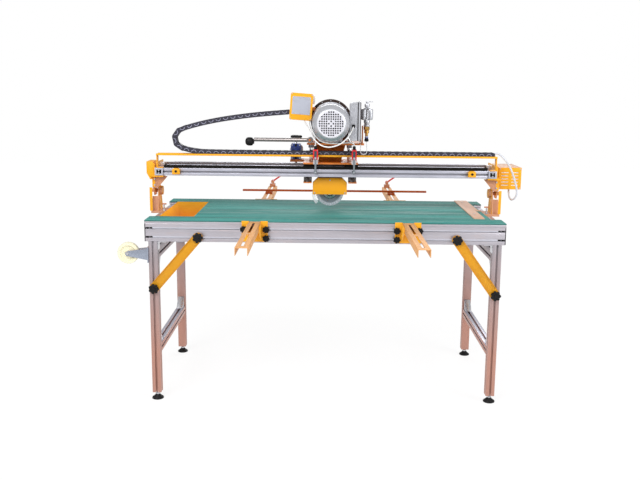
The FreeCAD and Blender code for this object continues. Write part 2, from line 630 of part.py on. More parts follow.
def casters():
    """Rigid casters on the outer faces of the left legs; they meet the floor when these fold."""
    forks = []
    face = f"-({LEG_PLACE} + profile / 2)"
    axle_x = f"({face} - caster_reach)"
    for t, end in ENDS:
        y = on_side(t, LEG_Y)
        plate = block((f"{face} - caster_sheet", face), about(y, "profile + 20"),
                      about("caster_height - 5", "caster_plate"), "caster_plate_piece")
        sides = []
        for sense in (-1, 1):
            low, high = side(sense, "caster_width / 2 + caster_gap",
                             "caster_width / 2 + caster_gap + caster_fork")
            points = [(f"{face} - 1", "caster_height + 26"), (f"{face} - 1", "caster_height - 34"),
                      (f"{axle_x} - 10", "caster_height - 12"), (f"{axle_x} - 14", "caster_height + 4"),
                      (f"{axle_x} + 4", "caster_height + 14")]
            sides.append(prism("y", points, (f"{y} + ({low})", f"{y} + ({high})"), "fork_side"))
        axle = rod("y", about(y, "caster_width + 2 * caster_gap + 2 * caster_fork + 8"),
                   (axle_x, "caster_height"), "caster_axle", "axle")
        forks.append(join([plate] + sides + [axle], "caster_fork_whole"))
        wheel = rod("y", about(y, "caster_width"), (axle_x, "caster_height"), "caster_wheel", "wheel")
        bore = rod("y", about(y, "caster_width + 2"), (axle_x, "caster_height"), "caster_axle + 0.05", "bore")
        node(end + "_caster_wheel", [cut(wheel, [bore], "wheel_bored")])
    node("caster_forks", forks)


# --- the tilting bridge ----------------------------------------------------------------------

sizes(
    rail_over=5, rail_low=1130, rail_height=40, front_rail_front=90, rail_depth=80, rail_gap=80,
    track_width=20, track_height=16, track_inset=3, seal_sheet=3, seal_height=11, cover_bar_front=28,
    cover_bar_depth=16,
    cover_bar_height=26, cover_bar_end=6, cover_bar_line=2,
    bridge_sheet=6, wall_over=25, cover_over=48, cover_start=11, cover_height=95,
    cover_front=90, cover_depth=105,
    belt_place=4, belt_thick=4, belt_low=1172, belt_height=18, belt_short=38, belt_clamp=26,
    stop_left_inset=110, stop_right_inset=128, stop_width=40, stop_height=32, stop_depth=18, stop_bolt=5,
    tray_left_inset=6, tray_right_over=3, tray_low=1237, tray_sheet=4, tray_front=100, tray_width=50,
    tray_lip=10, stand_width=34, box_over=30, box_width=122, box_front=20, box_depth=235,
    box_low=1066, box_height=117, box_wall=2, louvre_rows=5, louvre_height=5, louvre_length=38,
    handle_height=48, handle_radius=10, handle_stem=5,
)
RAIL_HALF = "(table_length / 2 + rail_over)"
BRIDGE_WALL = "(table_length / 2 + wall_over)"
COVER_OUTER = "(table_length / 2 + cover_over)"
COVER_INNER = "(table_length / 2 + cover_start)"
BELT_HALF = "(table_length / 2 - belt_short)"
STOP_LEFT = "(table_length / 2 - stop_left_inset)"
STOP_RIGHT = "(table_length / 2 - stop_right_inset)"
TRAY_LEFT = "(table_length / 2 - tray_left_inset)"
TRAY_RIGHT = "(table_length / 2 + tray_right_over)"
BOX_LEFT = "(table_length / 2 + box_over)"
BOX_RIGHT = f"({BOX_LEFT} + box_width)"
FRONT_Y = ("-front_rail_front", "-front_rail_front + rail_depth")
REAR_Y = ("-front_rail_front + rail_depth + rail_gap", "-front_rail_front + 2 * rail_depth + rail_gap")
RAIL_TOP = "(rail_low + rail_height)"


def bridge_rails():
    """Two extrusions with a gap between them for the saw's arm, and the tracks on them."""
    for (low, high), name, s in ((FRONT_Y, "front", -1), (REAR_Y, "rear", 1)):
        spans = {"x": side(1, f"-{RAIL_HALF}", RAIL_HALF), "y": (low, high), "z": ("rail_low", RAIL_TOP)}
        face = "rail_low + rail_height / 2"
        bottoms = [("z", -1, f"{low} + rail_depth / 2 - 20"), ("z", -1, f"{low} + rail_depth / 2 + 20")]
        node("rail_beams", [profile_bar("x", spans, [("y", s, face)] + bottoms, name + "_rail_beam")])
        middle = f"({low} + {high}) / 2"
        track = block((f"-{BELT_HALF} + 22", f"{BELT_HALF} - 22"), about(middle, "track_width"),
                      (RAIL_TOP, f"{RAIL_TOP} + track_height"), "track")
        grooves = [block((f"-{BELT_HALF}", BELT_HALF), side_about(middle, t, "track_width / 2 - track_inset",
                                                                  "track_width"),
                         (f"{RAIL_TOP} + 5", f"{RAIL_TOP} + 10"), "groove") for t in (-1, 1)]
        node("rail_beams", [cut(track, grooves, "grooved_track")])


def rail_covers():
    """A dark seal strip on the front rail, and the bar that covers the belt behind it."""
    x = (f"-({BELT_HALF} - cover_bar_end)", f"{BELT_HALF} - cover_bar_end")
    seal = block(x, (FRONT_Y[0], f"{FRONT_Y[0]} + seal_sheet"), (RAIL_TOP, f"{RAIL_TOP} + seal_height"),
                 "seal")
    y = ("-cover_bar_front", "-cover_bar_front + cover_bar_depth")
    bar = block(x, y, (RAIL_TOP, f"{RAIL_TOP} + cover_bar_height"), "cover_bar")
    line = block(x, (f"{y[0]} - 1", f"{y[0]} + cover_bar_line"),
                 about(f"{RAIL_TOP} + cover_bar_height / 2", "cover_bar_line"), "cover_bar_groove")
    node("rail_beams", [seal])
    node("rail_beams", [cut(bar, [line], "cover_bar_grooved")])


def side_about(middle, sense, low, high):
    a, b = side(sense, low, high)
    return (f"{middle} + ({a})", f"{middle} + ({b})")


def bridge_ends():
    """End plates that hang the bridge on its pivots, and the blocks at the rails' ends."""
    y_low, y_high = FRONT_Y[0], REAR_Y[1]
    for s, _ in SIDES:
        top = block(side(s, RAIL_HALF, f"{RAIL_HALF} + bridge_sheet"), (y_low, y_high),
                    ("rail_low - 8", f"{RAIL_TOP} + 24"), "end_plate")
        shelf = block(side(s, f"{RAIL_HALF} - 45", BRIDGE_WALL), (y_low, y_high),
                      ("rail_low - 8", "rail_low"), "shelf")
        cheek = [("-post_depth / 2", "rail_low - 7"), ("post_depth / 2", "rail_low - 7"),
                 ("boss_radius", "tilt_height - boss_radius"), ("-boss_radius", "tilt_height - boss_radius")]
        wall = prism("x", cheek, side(s, f"{BRIDGE_WALL} - bridge_sheet", BRIDGE_WALL), "pivot_cheek")
        hole = rod("x", side(s, f"{BRIDGE_WALL} - 20", f"{BRIDGE_WALL} + 20"), ("0", "tilt_height"),
                   "pivot_radius + pivot_fit", "pivot_hole")
        front = [(on_side(s, f"{RAIL_HALF} - 62"), "rail_low - 7"), (on_side(s, BRIDGE_WALL), "rail_low - 7"),
                 (on_side(s, BRIDGE_WALL), "tilt_height + 20"), (on_side(s, f"{BRIDGE_WALL} - 28"),
                                                                 "tilt_height + 20")]
        face = prism("y", front, ("-post_depth / 2", "-post_depth / 2 + bridge_sheet"), "pivot_face")
        node("bridge_ends", [cut(join([top, shelf, wall, face], "bridge_end"), [hole], "bridge_end_bored")])
        block_y = (f"{FRONT_Y[0]} - 6", FRONT_Y[0])
        centre = on_side(s, f"{RAIL_HALF} - 23")
        body = block(about(centre, "44"), block_y, ("rail_low + 1", f"{RAIL_TOP} - 1"), "end_block")
        recess = block(about(centre, "26"), (f"{FRONT_Y[0]} - 7", f"{FRONT_Y[0]} - 2"),
                       ("rail_low + 9", f"{RAIL_TOP} - 9"), "recess")
        node("rail_beams", [cut(body, [recess], "rail_block")])


def travel_stops():
    stops = []
    for place in (f"-{STOP_LEFT}", STOP_RIGHT):
        low = f"({RAIL_TOP} - stop_height)"
        points = [(f"{place} - stop_width / 2", low), (f"{place} + stop_width / 2", low),
                  (f"{place} + stop_width / 2", f"{RAIL_TOP} - 6"), (f"{place} + stop_width / 2 - 8",
                                                                     RAIL_TOP),
                  (f"{place} - stop_width / 2 + 8", RAIL_TOP), (f"{place} - stop_width / 2",
                                                                f"{RAIL_TOP} - 6")]
        stop = prism("y", points, (f"{FRONT_Y[0]} - stop_depth", FRONT_Y[0]), "stop")
        bolt = rod("y", (f"{FRONT_Y[0]} - stop_depth - 3", f"{FRONT_Y[0]} - stop_depth + 2"),
                   (place, f"{low} + stop_height / 2"), "stop_bolt", "stop_bolt_head")
        stops.append(join([stop, bolt], "stop_whole"))
    node("travel_stops", stops)


def drive_belt():
    y = about("-belt_place", "belt_thick")
    band = block((f"-{BELT_HALF}", BELT_HALF), y, ("belt_low", "belt_low + belt_height"), "band")
    node("drive_belt", [band])
    clamps = []
    for s, _ in SIDES:
        body = block(side(s, f"{BELT_HALF} - 2", f"{BELT_HALF} + belt_clamp"),
                     ("-belt_place - belt_clamp", "-belt_place + belt_thick / 2"),
                     (RAIL_TOP, "belt_low + belt_height + 5"), "belt_clamp_body")
        slit = block(side(s, f"{BELT_HALF} - 3", BELT_HALF), y, ("belt_low", "belt_low + belt_height"),
                     "slit")
        clamps.append(cut(body, [slit], "belt_clamp_cut"))
    node("bridge_ends", clamps)


def cable_tray():
    """The tray that the cable chain lies in, on a stand at each end of the bridge."""
    y = ("-tray_front", "-tray_front + tray_width")
    x = (f"-{TRAY_LEFT}", TRAY_RIGHT)
    floor = block(x, y, ("tray_low", "tray_low + tray_sheet"), "tray_floor")
    lips = [block(x, ("-tray_front", "-tray_front + 2"), ("tray_low", "tray_low + tray_lip"),
                  "tray_lip_front"),
            block(x, ("-tray_front + tray_width - 2", "-tray_front + tray_width"),
                  ("tray_low", "tray_low + tray_lip"), "lip")]
    node("cable_tray", [join([floor] + lips, "tray")])
    stands = []
    for s, length in ((-1, TRAY_LEFT), (1, TRAY_RIGHT)):
        foot = block(side(s, f"{length} - stand_width", length),
                     about("-tray_front + tray_width / 2", "tray_width - 14"),
                     (RAIL_TOP, f"{RAIL_TOP} + 4"), "stand_foot")
        post = block(side(s, f"{length} - 5", length), about("-tray_front + tray_width / 2",
                                                             "tray_width - 14"),
                     (RAIL_TOP, "tray_low"), "stand_post")
        stands.append(join([foot, post], "stand"))
    node("cable_tray", stands)


def end_covers():
    """The belt's folded end cover on the left and the louvred electrical box on the right."""
    top = "rail_low - 22 + cover_height"
    step = f"-{BRIDGE_WALL} - play"
    points = [(f"-{COVER_OUTER}", top), (f"-{COVER_INNER} - play", top),
              (f"-{COVER_INNER} - play", "rail_low + play"),
              (step, "rail_low + play"), (step, "rail_low - 22"), (f"{step} - 4", "rail_low - 22"),
              (f"-{COVER_OUTER}", "rail_low + 12")]
    node("end_covers", [prism("y", points, ("-cover_front", "-cover_front + cover_depth"),
                              "belt_cover_shell")])
    x = (BOX_LEFT, BOX_RIGHT)
    y = ("-box_front", "-box_front + box_depth")
    z = ("box_low", "box_low + box_height")
    shell = block(x, y, z, "box_shell")
    inside = [(f"{low} + box_wall", f"{high} - box_wall") for low, high in (x, y, z)]
    tools = [block(*inside, "box_inside")]
    for row in range(int(val("louvre_rows"))):
        for column in (0.28, 0.72):
            middle = f"{BOX_LEFT} + ({BOX_RIGHT} - {BOX_LEFT}) * {column}"
            low = f"box_low + 20 + {row} * (box_height - 32) / louvre_rows"
            tools.append(block(about(middle, "louvre_length"),
                               ("-box_front - 1", "-box_front + box_wall + 1"),
                               (low, f"{low} + louvre_height"), "louvre"))
    node("end_covers", [cut(shell, tools, "electrical_box_cut")])
    arms = block((f"{RAIL_HALF} + bridge_sheet", BOX_LEFT),
                 about("box_depth / 2 - box_front", "box_depth / 2"),
                 ("rail_low + 6", "rail_low + 22"), "box_arm")
    node("end_covers", [arms])


def tilt_handles():
    """Locking handles through the pivot cheeks, one on each side."""
    for s, _ in SIDES:
        spot = ("-boss_radius - 14", "tilt_height + 57")
        stem = rod("x", side(s, f"{BRIDGE_WALL} - bridge_sheet - 16", f"{BRIDGE_WALL} - bridge_sheet"), spot,
                   "handle_stem", "stem")
        grip = rod("z", (f"{spot[1]} - handle_height / 2", f"{spot[1]} + handle_height / 2"),
                   (on_side(s, f"{BRIDGE_WALL} - bridge_sheet - 16 - handle_radius + 2"),
                    spot[0]), "handle_radius", "grip")
        node("bridge_ends", [join([stem, grip], "tilt_handle_whole")])


# --- the carriage ----------------------------------------------------------------------------

sizes(
    head_place=24, carriage_left=119, carriage_right=171, carriage_front=100, carriage_rear=160,
    carriage_low=1198, carriage_sheet=8, block_length=70, block_width=34, block_gap=0.4,
    hanger_half=22, hanger_place=120, hanger_sheet=6, hanger_front=8, roller_radius=13,
    roller_gap=0.4, roller_width=24, column_place=102, column_radius=9, column_top=1320, column_fit=0.05,
    column_row=22, gear_left=187, gear_right=134, gear_front=25, gear_rear=52, gear_low=1216, gear_high=1300,
    pulley_radius=14, pulley_gap=0.4, wheel_low=1328, wheel_high=1343, hand_radius=33, shaft_radius=6,
    switch_left=54, switch_right=148, switch_width=26, switch_low=1224, switch_high=1278,
    switch_depth=22, switch_front=110, gland_height=18, gland_radius=8, switch_sheet=4,
    lever_length=74, lever_sheet=3, lever_roller=8,
)
PULLEY_Y = "(-belt_place + belt_thick / 2 + pulley_gap + pulley_radius)"
GEAR_X = "(-(gear_left + gear_right) / 2)"
CARRIAGE_TOP = "(carriage_low + carriage_sheet)"


def carriage():
    x = ("-carriage_left", "carriage_right")
    plate = block(x, ("-carriage_front", "carriage_rear"), ("carriage_low", CARRIAGE_TOP),
                  "carriage_plate_piece")
    gear_foot = block(("-gear_left - 4", "-carriage_left + 1"), ("-gear_front", "gear_rear"),
                      (f"{CARRIAGE_TOP} - 3", "gear_low"), "gear_foot")
    opening = block(about("head_place", "2 * arm_half + 16"), ("arm_front - 6", "arm_rear + 6"),
                    ("carriage_low - 1", f"{CARRIAGE_TOP} + 1"), "arm_opening")
    shaft = rod("z", ("carriage_low - 1", "gear_low + 1"), (GEAR_X, PULLEY_Y), "shaft_radius + 1",
                "shaft_hole")
    node("carriage_plate", [cut(join([plate, gear_foot], "carriage_blank"), [opening, shaft],
                                "carriage_cut")])
    blocks = []
    for low, high in (FRONT_Y, REAR_Y):
        middle = f"({low} + {high}) / 2"
        for place in ("-carriage_left + block_length / 2", "carriage_right - block_length / 2"):
            body = block(about(place, "block_length"), about(middle, "block_width"),
                         (f"{RAIL_TOP} + 3", "carriage_low"), "bearing_body")
            way = block(about(place, "block_length + 2"), about(middle, "track_width + 2 * block_gap"),
                        (RAIL_TOP, f"{RAIL_TOP} + track_height + block_gap"), "way")
            blocks.append(cut(body, [way], "bearing_block"))
    node("carriage_guides", blocks)
    hangers, rollers = [], []
    low = "(rail_low - roller_gap - 2 * roller_radius)"
    for s in (-1, 1):
        x = f"(head_place + ({s}) * hanger_place)"
        drop = block(about(x, "2 * hanger_half"), ("hanger_front", "hanger_front + hanger_sheet"),
                     (f"{low} - 4", "carriage_low"), "drop")
        shelf = block(about(x, "2 * hanger_half"), ("-front_rail_front / 2 - 20", "hanger_front + 1"),
                      (f"{low} - 10", f"{low} - 4"), "shelf")
        middle = "-front_rail_front / 2"
        ears = [block(about(x, "16"), side_about(middle, t, "roller_width / 2 + 1", "roller_width / 2 + 5"),
                      (f"{low} - 5", f"{low} + roller_radius + 8"), "ear") for t in (-1, 1)]
        pin = rod("y", about(middle, "roller_width + 6"), (x, f"{low} + roller_radius"), "shaft_radius - 2",
                  "roller_pin")
        hangers.append(join([drop, shelf] + ears + [pin], "hanger"))
        roller = rod("y", about(middle, "roller_width"), (x, f"{low} + roller_radius"), "roller_radius",
                     "roller")
        bore = rod("y", about(middle, "roller_width + 2"), (x, f"{low} + roller_radius"),
                   "shaft_radius - 2 + column_fit", "roller_bore")
        rollers.append((s, cut(roller, [bore], "roller_bored")))
    node("roller_hangers", hangers)
    for s, roller in rollers:
        node("roller_hangers", [roller])
    columns = []
    for s in (-1, 1):
        for y in ("-column_row", "carriage_rear - column_row - 20"):
            columns.append(rod("z", (CARRIAGE_TOP, "column_top"), (f"head_place + ({s}) * column_place", y),
                               "column_radius", "column"))
    node("carriage_guides", columns)


def feed_drive():
    """The worm gearbox that drives the belt pulley, and its handwheel."""
    centre = (GEAR_X, PULLEY_Y)
    body = block(("-gear_left", "-gear_right"), ("-gear_front", "gear_rear"), ("gear_low", "gear_high"),
                 "gearbox")
    cap = rod("y", ("-gear_front - 12", "-gear_front + 1"), (GEAR_X, "(gear_low + gear_high) / 2"), "24",
              "gear_cap")
    bore = rod("z", ("gear_low - 1", "gear_high + 1"), centre, "shaft_radius + 0.05", "gear_bore")
    node("feed_gearbox", [cut(join([body, cap], "gearbox_whole"), [bore], "gearbox_bored")])
    motor = rod("y", ("gear_rear", "gear_rear + 130"), (GEAR_X, "(gear_low + gear_high) / 2"), "35",
                "feed_motor_body")
    node("feed_gearbox", [motor])
    shaft = rod("z", ("belt_low", "wheel_low"), centre, "shaft_radius", "shaft")
    pulley = rod("z", ("belt_low", "belt_low + belt_height"), centre, "pulley_radius", "pulley")
    disc = rod("z", ("wheel_low", "wheel_high"), centre, "hand_radius", "disc")
    node("feed_shaft", [join([shaft, pulley], "pulley_shaft_whole")])
    node("feed_shaft", [disc])


def switches():
    """Roller-lever switches in front of the bridge; the travel stops press their rollers."""
    brackets, bodies = [], []
    front = "-switch_front"
    for s, name in SIDES:
        x = on_side(s, "switch_left" if s < 0 else "switch_right")
        plate = block(about(x, "switch_width"), (f"{front} + play", f"{front} + play + switch_sheet"),
                      ("carriage_low", "switch_high"), "switch_plate")
        foot = block(about(x, "switch_width"), (f"{front} + play", "-carriage_front"),
                     ("carriage_low", CARRIAGE_TOP), "switch_foot")
        brackets.append(join([plate, foot], "switch_bracket"))
        body = block(about(x, "switch_width"), (f"{front} - switch_depth", front),
                     ("switch_low", "switch_high"), "case")
        gland = rod("z", ("switch_high", "switch_high + gland_height"), (x, f"{front} - switch_depth / 2"),
                    "gland_radius", "gland")
        pivot = rod("y", (f"{front} - switch_depth - lever_sheet - 3", f"{front} - switch_depth + 1"),
                    (x, "switch_low + 9"), "3.5", "lever_pivot")
        bodies.append(join([body, gland, pivot], "switch"))
        y = (f"{front} - switch_depth - lever_sheet - 1", f"{front} - switch_depth - 1")
        arm = block(about(x, "9"), y, ("switch_low + 9 - lever_length", "switch_low + 9"), "lever_arm")
        eye = rod("y", y, (x, "switch_low + 9"), "7", "lever_eye")
        roller = rod("y", (y[0], "-front_rail_front - stop_depth / 3"), (x, "switch_low + 9 - lever_length"),
                     "lever_roller", "lever_roller_piece")
        hole = rod("y", (f"{y[0]} - 1", f"{y[1]} + 1"), (x, "switch_low + 9"), "3.55", "lever_hole")
        node(name + "_switch_lever", [cut(join([arm, eye, roller], "lever"), [hole], "lever_cut")])
    node("carriage_plate", brackets)
    node("limit_switches", bodies)


# --- the saw head ----------------------------------------------------------------------------

sizes(
    motor_clear=15, motor_radius=95, motor_front=320, motor_rear=8, cover_length=65, fan_dome=14,
    arm_front=10, arm_rear=62, arm_half=62, arm_top=115, head_low=1300, head_sheet=10,
    head_left=100, head_right=200, head_front=104, head_rear=138, arm_wall_sheet=3,
    spindle_radius=10, blade_radius=75, blade_thick=2.4, flange_radius=35, flange_thick=5,
    guard_left=68, guard_right=115, guard_low=1031, guard_high=1119, guard_chamfer=26, guard_front=40,
    guard_sheet=2, flap_left=76, flap_low=975, flap_sheet=3,
    control_width=116, control_gap=1, control_low=1428, control_high=1566, control_front=125,
    control_depth=85,
    plate_sheet=1.5, plate_width=95, plate_height=91, plate_rise=6, terminal_left=121, terminal_right=176,
    terminal_low=1326, terminal_high=1527,
    terminal_front=215, terminal_depth=110, tap_place=212, tap_low=1436, tap_high=1515, tap_y=96,
    bracket_place=190, handle_y=135, handle_z=1327, handle_right=84, handle_left=373,
    bar_radius=10, knob_end=46, knob_thick=50, drive_radius=42, driven_radius=34, box_skin=3,
)
CONTROL_RIGHT = "(motor_radius - head_place + control_gap)"
CONTROL_LEFT = f"({CONTROL_RIGHT} + control_width)"
MOTOR_Z = "(head_low + head_sheet + motor_radius + motor_clear)"
MOTOR = ("head_place", MOTOR_Z)
SAW = ("head_place", "tilt_height")


def motor():
    node("motor_body", [motor_body()])
    rear = "-motor_front + cover_length"
    shell = cone("y", ("-motor_front", "-motor_front + fan_dome"), MOTOR, "motor_radius * 0.8",
                 "motor_radius", "dome")
    ring = rod("y", ("-motor_front + fan_dome", rear), MOTOR, "motor_radius", "cover_ring")
    hollow = rod("y", ("-motor_front + fan_dome", f"{rear} + 1"), MOTOR, "motor_radius - 3", "cover_hollow")
    node("fan_cover", [cut(join([shell, ring], "cover_blank"), [hollow], "fan_cover_shell")])
    hub = rod("y", ("-motor_front + fan_dome + 6", f"{rear} - 2"), MOTOR, "20", "fan_hub")
    blades = []
    for k in range(8):
        blade = block(("head_place + 16", "head_place + motor_radius - 12"),
                      ("-motor_front + fan_dome + 10", f"{rear} - 6"),
                      about(MOTOR_Z, "3"), "fan_blade")
        blades.append(turned([blade], (0, 1, 0), 45 * k, ("head_place", "0", MOTOR_Z)))
    shaft = rod("y", (f"{rear} - 3", "arm_rear - 12"), MOTOR, "spindle_radius", "motor_shaft")
    pulley = rod("y", ("arm_front + 14", "arm_rear - 12"), MOTOR, "drive_radius", "drive_pulley")
    node("motor_rotor", [join([hub, shaft, pulley] + blades, "rotor")])


def motor_body():
    rear = "-motor_front + cover_length"
    body = rod("y", (rear, "motor_rear"), MOTOR, "motor_radius - 6", "motor_case")
    flange = rod("y", ("motor_rear - 14", "motor_rear"), MOTOR, "motor_radius + 6", "motor_flange")
    foot = block(about("head_place", "130"), ("-head_front + 4", "-30"),
                 ("head_low + head_sheet", f"{MOTOR_Z} - 80"), "motor_foot")
    bore = rod("y", (f"{rear} - 1", "motor_rear + 1"), MOTOR, "spindle_radius + 0.05", "motor_bore")
    room = rod("y", (f"{rear} + 16", "motor_rear - 26"), MOTOR, "motor_radius - 34", "motor_room")
    return cut(join([body, flange, foot], "motor_blank"), [bore, room], "motor_bored")


def head_frame():
    """The sliding plate on the guide columns, and the belt housing that reaches to the blade."""
    plate = block(("-head_left", "head_right"), ("-head_front", "head_rear"),
                  ("head_low", "head_low + head_sheet"), "head_plate_piece")
    tools = []
    for s in (-1, 1):
        for y in ("-column_row", "carriage_rear - column_row - 20"):
            tools.append(rod("z", ("head_low - 21", "head_low + head_sheet + 1"),
                             (f"head_place + ({s}) * column_place", y),
                             "column_radius + column_fit", "column_hole"))
    bushes = [rod("z", ("head_low - 20", "head_low + 1"), (f"head_place + ({s}) * column_place", y),
                  "column_radius + 6", "bush")
              for s in (-1, 1) for y in ("-column_row", "carriage_rear - column_row - 20")]
    opening = block(about("head_place", "2 * arm_top"), ("arm_front - 1", "arm_rear + 0.5"),
                    ("head_low - 1", "head_low + head_sheet + 1"), "arm_hole")
    node("head_plate", [cut(join([plate] + bushes, "head_blank"), tools + [opening], "head_plate_cut")])
    arm = belt_case("arm_top", "arm_half", "arm_front", "arm_rear", "belt_case_outer")
    inner = belt_case("arm_top - arm_wall_sheet", "arm_half - arm_wall_sheet", "arm_front + 3",
                      "arm_rear - 3", "belt_case_inner")
    holes = [rod("y", ("arm_front - 1", "arm_front + 4"), MOTOR, "spindle_radius + 4", "motor_way"),
             rod("y", ("arm_front - 1", "arm_front + 4"), SAW, "spindle_radius + 0.05", "spindle_way")]
    shell = cut(arm, [inner] + holes, "belt_case_shell")
    node("belt_case", [shell])


def belt_case(top, low, front, rear, name):
    """A case with a round head about the motor's axis, tapering to the blade's axis."""
    head = rod("y", (front, rear), MOTOR, top, name + "_head")
    foot = rod("y", (front, rear), SAW, low, name + "_foot")
    shoulder = "rail_low + rail_height + 50"
    points = [(f"head_place - ({low})", "tilt_height"), (f"head_place + ({low})", "tilt_height"),
              (f"head_place + ({low})", shoulder), (f"head_place + ({top})", MOTOR_Z),
              (f"head_place - ({top})", MOTOR_Z), (f"head_place - ({low})", shoulder)]
    return join([head, foot, prism("y", points, (front, rear), name + "_web")], name)


def blade_set():
    spindle = rod("y", ("-flange_thick - 14", "arm_rear - 12"), SAW, "spindle_radius", "spindle")
    pulley = rod("y", ("arm_front + 14", "arm_rear - 12"), SAW, "driven_radius", "driven_pulley")
    rear = rod("y", ("blade_thick / 2", "arm_front - 1"), SAW, "flange_radius", "rear_flange")
    node("spindle_set", [join([spindle, pulley, rear], "spindle_whole")])
    disc = rod("y", about("0", "blade_thick"), SAW, "blade_radius", "disc")
    bore = rod("y", about("0", "blade_thick + 2"), SAW, "spindle_radius", "blade_bore")
    node("blade", [cut(disc, [bore], "blade_bored")])
    flange = rod("y", ("-blade_thick / 2 - flange_thick", "-blade_thick / 2"), SAW, "flange_radius",
                 "front_flange")
    nut = rod("y", ("-blade_thick / 2 - flange_thick - 10", "-blade_thick / 2 - flange_thick"), SAW,
              "spindle_radius + 7", "nut")
    hole = rod("y", ("-blade_thick / 2 - flange_thick - 11", "0"), SAW, "spindle_radius", "flange_bore")
    node("spindle_set", [cut(join([flange, nut], "flange_blank"), [hole], "flange_bored")])
    belts = []
    for sense in (-1, 1):
        low = f"head_place + ({sense}) * (driven_radius + 2.4)"
        high = f"head_place + ({sense}) * (drive_radius + 2.4)"
        points = [(f"{low} - 2", "tilt_height"), (f"{low} + 2", "tilt_height"),
                  (f"{high} + 2", MOTOR_Z), (f"{high} - 2", MOTOR_Z)]
        belts.append(prism("y", points, ("arm_front + 16", "arm_rear - 14"), "belt_run"))
    node("belt_case", belts)


def guard():
    """A yellow guard open at the bottom, with a play splash flap on its left."""
    points = [("-guard_left", "guard_low"), ("guard_right", "guard_low"),
              ("guard_right", "guard_high - guard_chamfer"),
              ("guard_right - guard_chamfer", "guard_high"), ("-guard_left + guard_chamfer", "guard_high"),
              ("-guard_left", "guard_high - guard_chamfer")]
    inner = [("-guard_left + guard_sheet", "guard_low - 1"), ("guard_right - guard_sheet", "guard_low - 1"),
             ("guard_right - guard_sheet", "guard_high - guard_chamfer - 1"),
             ("guard_right - guard_chamfer - 1", "guard_high - guard_sheet"),
             ("-guard_left + guard_chamfer + 1", "guard_high - guard_sheet"),
             ("-guard_left + guard_sheet", "guard_high - guard_chamfer - 1")]
    shell = prism("y", points, ("-guard_front", "arm_front"), "guard_blank")
    hollow = prism("y", inner, ("-guard_front + guard_sheet", "arm_front + 1"), "guard_hollow")
    node("blade_guard", [cut(shell, [hollow], "guard")])
    flap = block(("-flap_left", "-guard_left"), ("-guard_front + 4", "-4"),
                 ("guard_low - 2", "guard_low + 24"), "flap_top")
    hang = block(("-flap_left", "-flap_left + flap_sheet"), ("-guard_front + 4", "-4"),
                 ("flap_low", "guard_low + 24"), "flap")
    node("splash_flap", [join([flap, hang], "flap_whole")])


def head_boxes():
    """The control box, the motor's terminal box, and their brackets."""
    x = (f"-{CONTROL_LEFT}", f"-{CONTROL_RIGHT}")
    y = ("-control_front", "-control_front + control_depth")
    blank = block(x, y, ("control_low", "control_high"), "control_blank")
    room = block((f"-{CONTROL_LEFT} + box_skin", f"-{CONTROL_RIGHT} - box_skin"),
                 ("-control_front + box_skin", "-control_front + control_depth - box_skin"),
                 ("control_low + box_skin", "control_high - box_skin"), "control_room")
    case = cut(blank, [room], "control_case")
    plate = block(about(f"-({CONTROL_LEFT} + {CONTROL_RIGHT}) / 2", "plate_width"),
                  ("-control_front - plate_sheet", "-control_front"),
                  about("(control_low + control_high) / 2 + plate_rise", "plate_height"), "bare_plate")
    at = (f"-({CONTROL_LEFT} + {CONTROL_RIGHT}) / 2", "0", "(control_low + control_high) / 2")
    node("control_box", [turned([case], (0, 1, 0), 4, at, "control_tilted")])
    node("control_box", [turned([plate], (0, 1, 0), 4, at, "plate_tilted")])
    back = "-control_front + control_depth"
    strap = block((f"-{CONTROL_RIGHT} - 58", f"-{CONTROL_RIGHT} + 14"), (back, f"{back} + 5"),
                  (f"{MOTOR_Z} + 56", f"{MOTOR_Z} + 74"), "control_strap")
    web = block((f"-{CONTROL_RIGHT} - 26", f"-{CONTROL_RIGHT} - 20"), (back, "motor_rear - 14"),
                (f"{MOTOR_Z} + 14", f"{MOTOR_Z} + 74"), "control_web")
    foot = block((f"-{CONTROL_RIGHT} - 26", "head_place - motor_radius + 5"), ("motor_rear - 19", "motor_rear - 14"),
                 (f"{MOTOR_Z} + 14", f"{MOTOR_Z} + 40"), "control_foot")
    node("head_plate", [join([strap, web, foot], "control_bracket_piece")])
    box = block(("terminal_left", "terminal_right"), ("-terminal_front", "-terminal_front + terminal_depth"),
                ("terminal_low", "terminal_high"), "terminal_case")
    neck = block(("head_place + motor_radius - 24", "terminal_left + 1"),
                 about("-terminal_front + terminal_depth / 2", "60"),
                 about(MOTOR_Z, "60"), "terminal_neck")
    case = rod("y", ("-motor_front + cover_length", "motor_rear"), MOTOR, "motor_radius - 6", "terminal_way")
    room = block(("terminal_left + box_skin", "terminal_right - box_skin"),
                 ("-terminal_front + box_skin", "-terminal_front + terminal_depth - box_skin"),
                 ("terminal_low + box_skin", "terminal_high - box_skin"), "terminal_room")
    node("motor_body", [cut(join([box, neck], "terminal_whole"), [case, room], "terminal_box")])


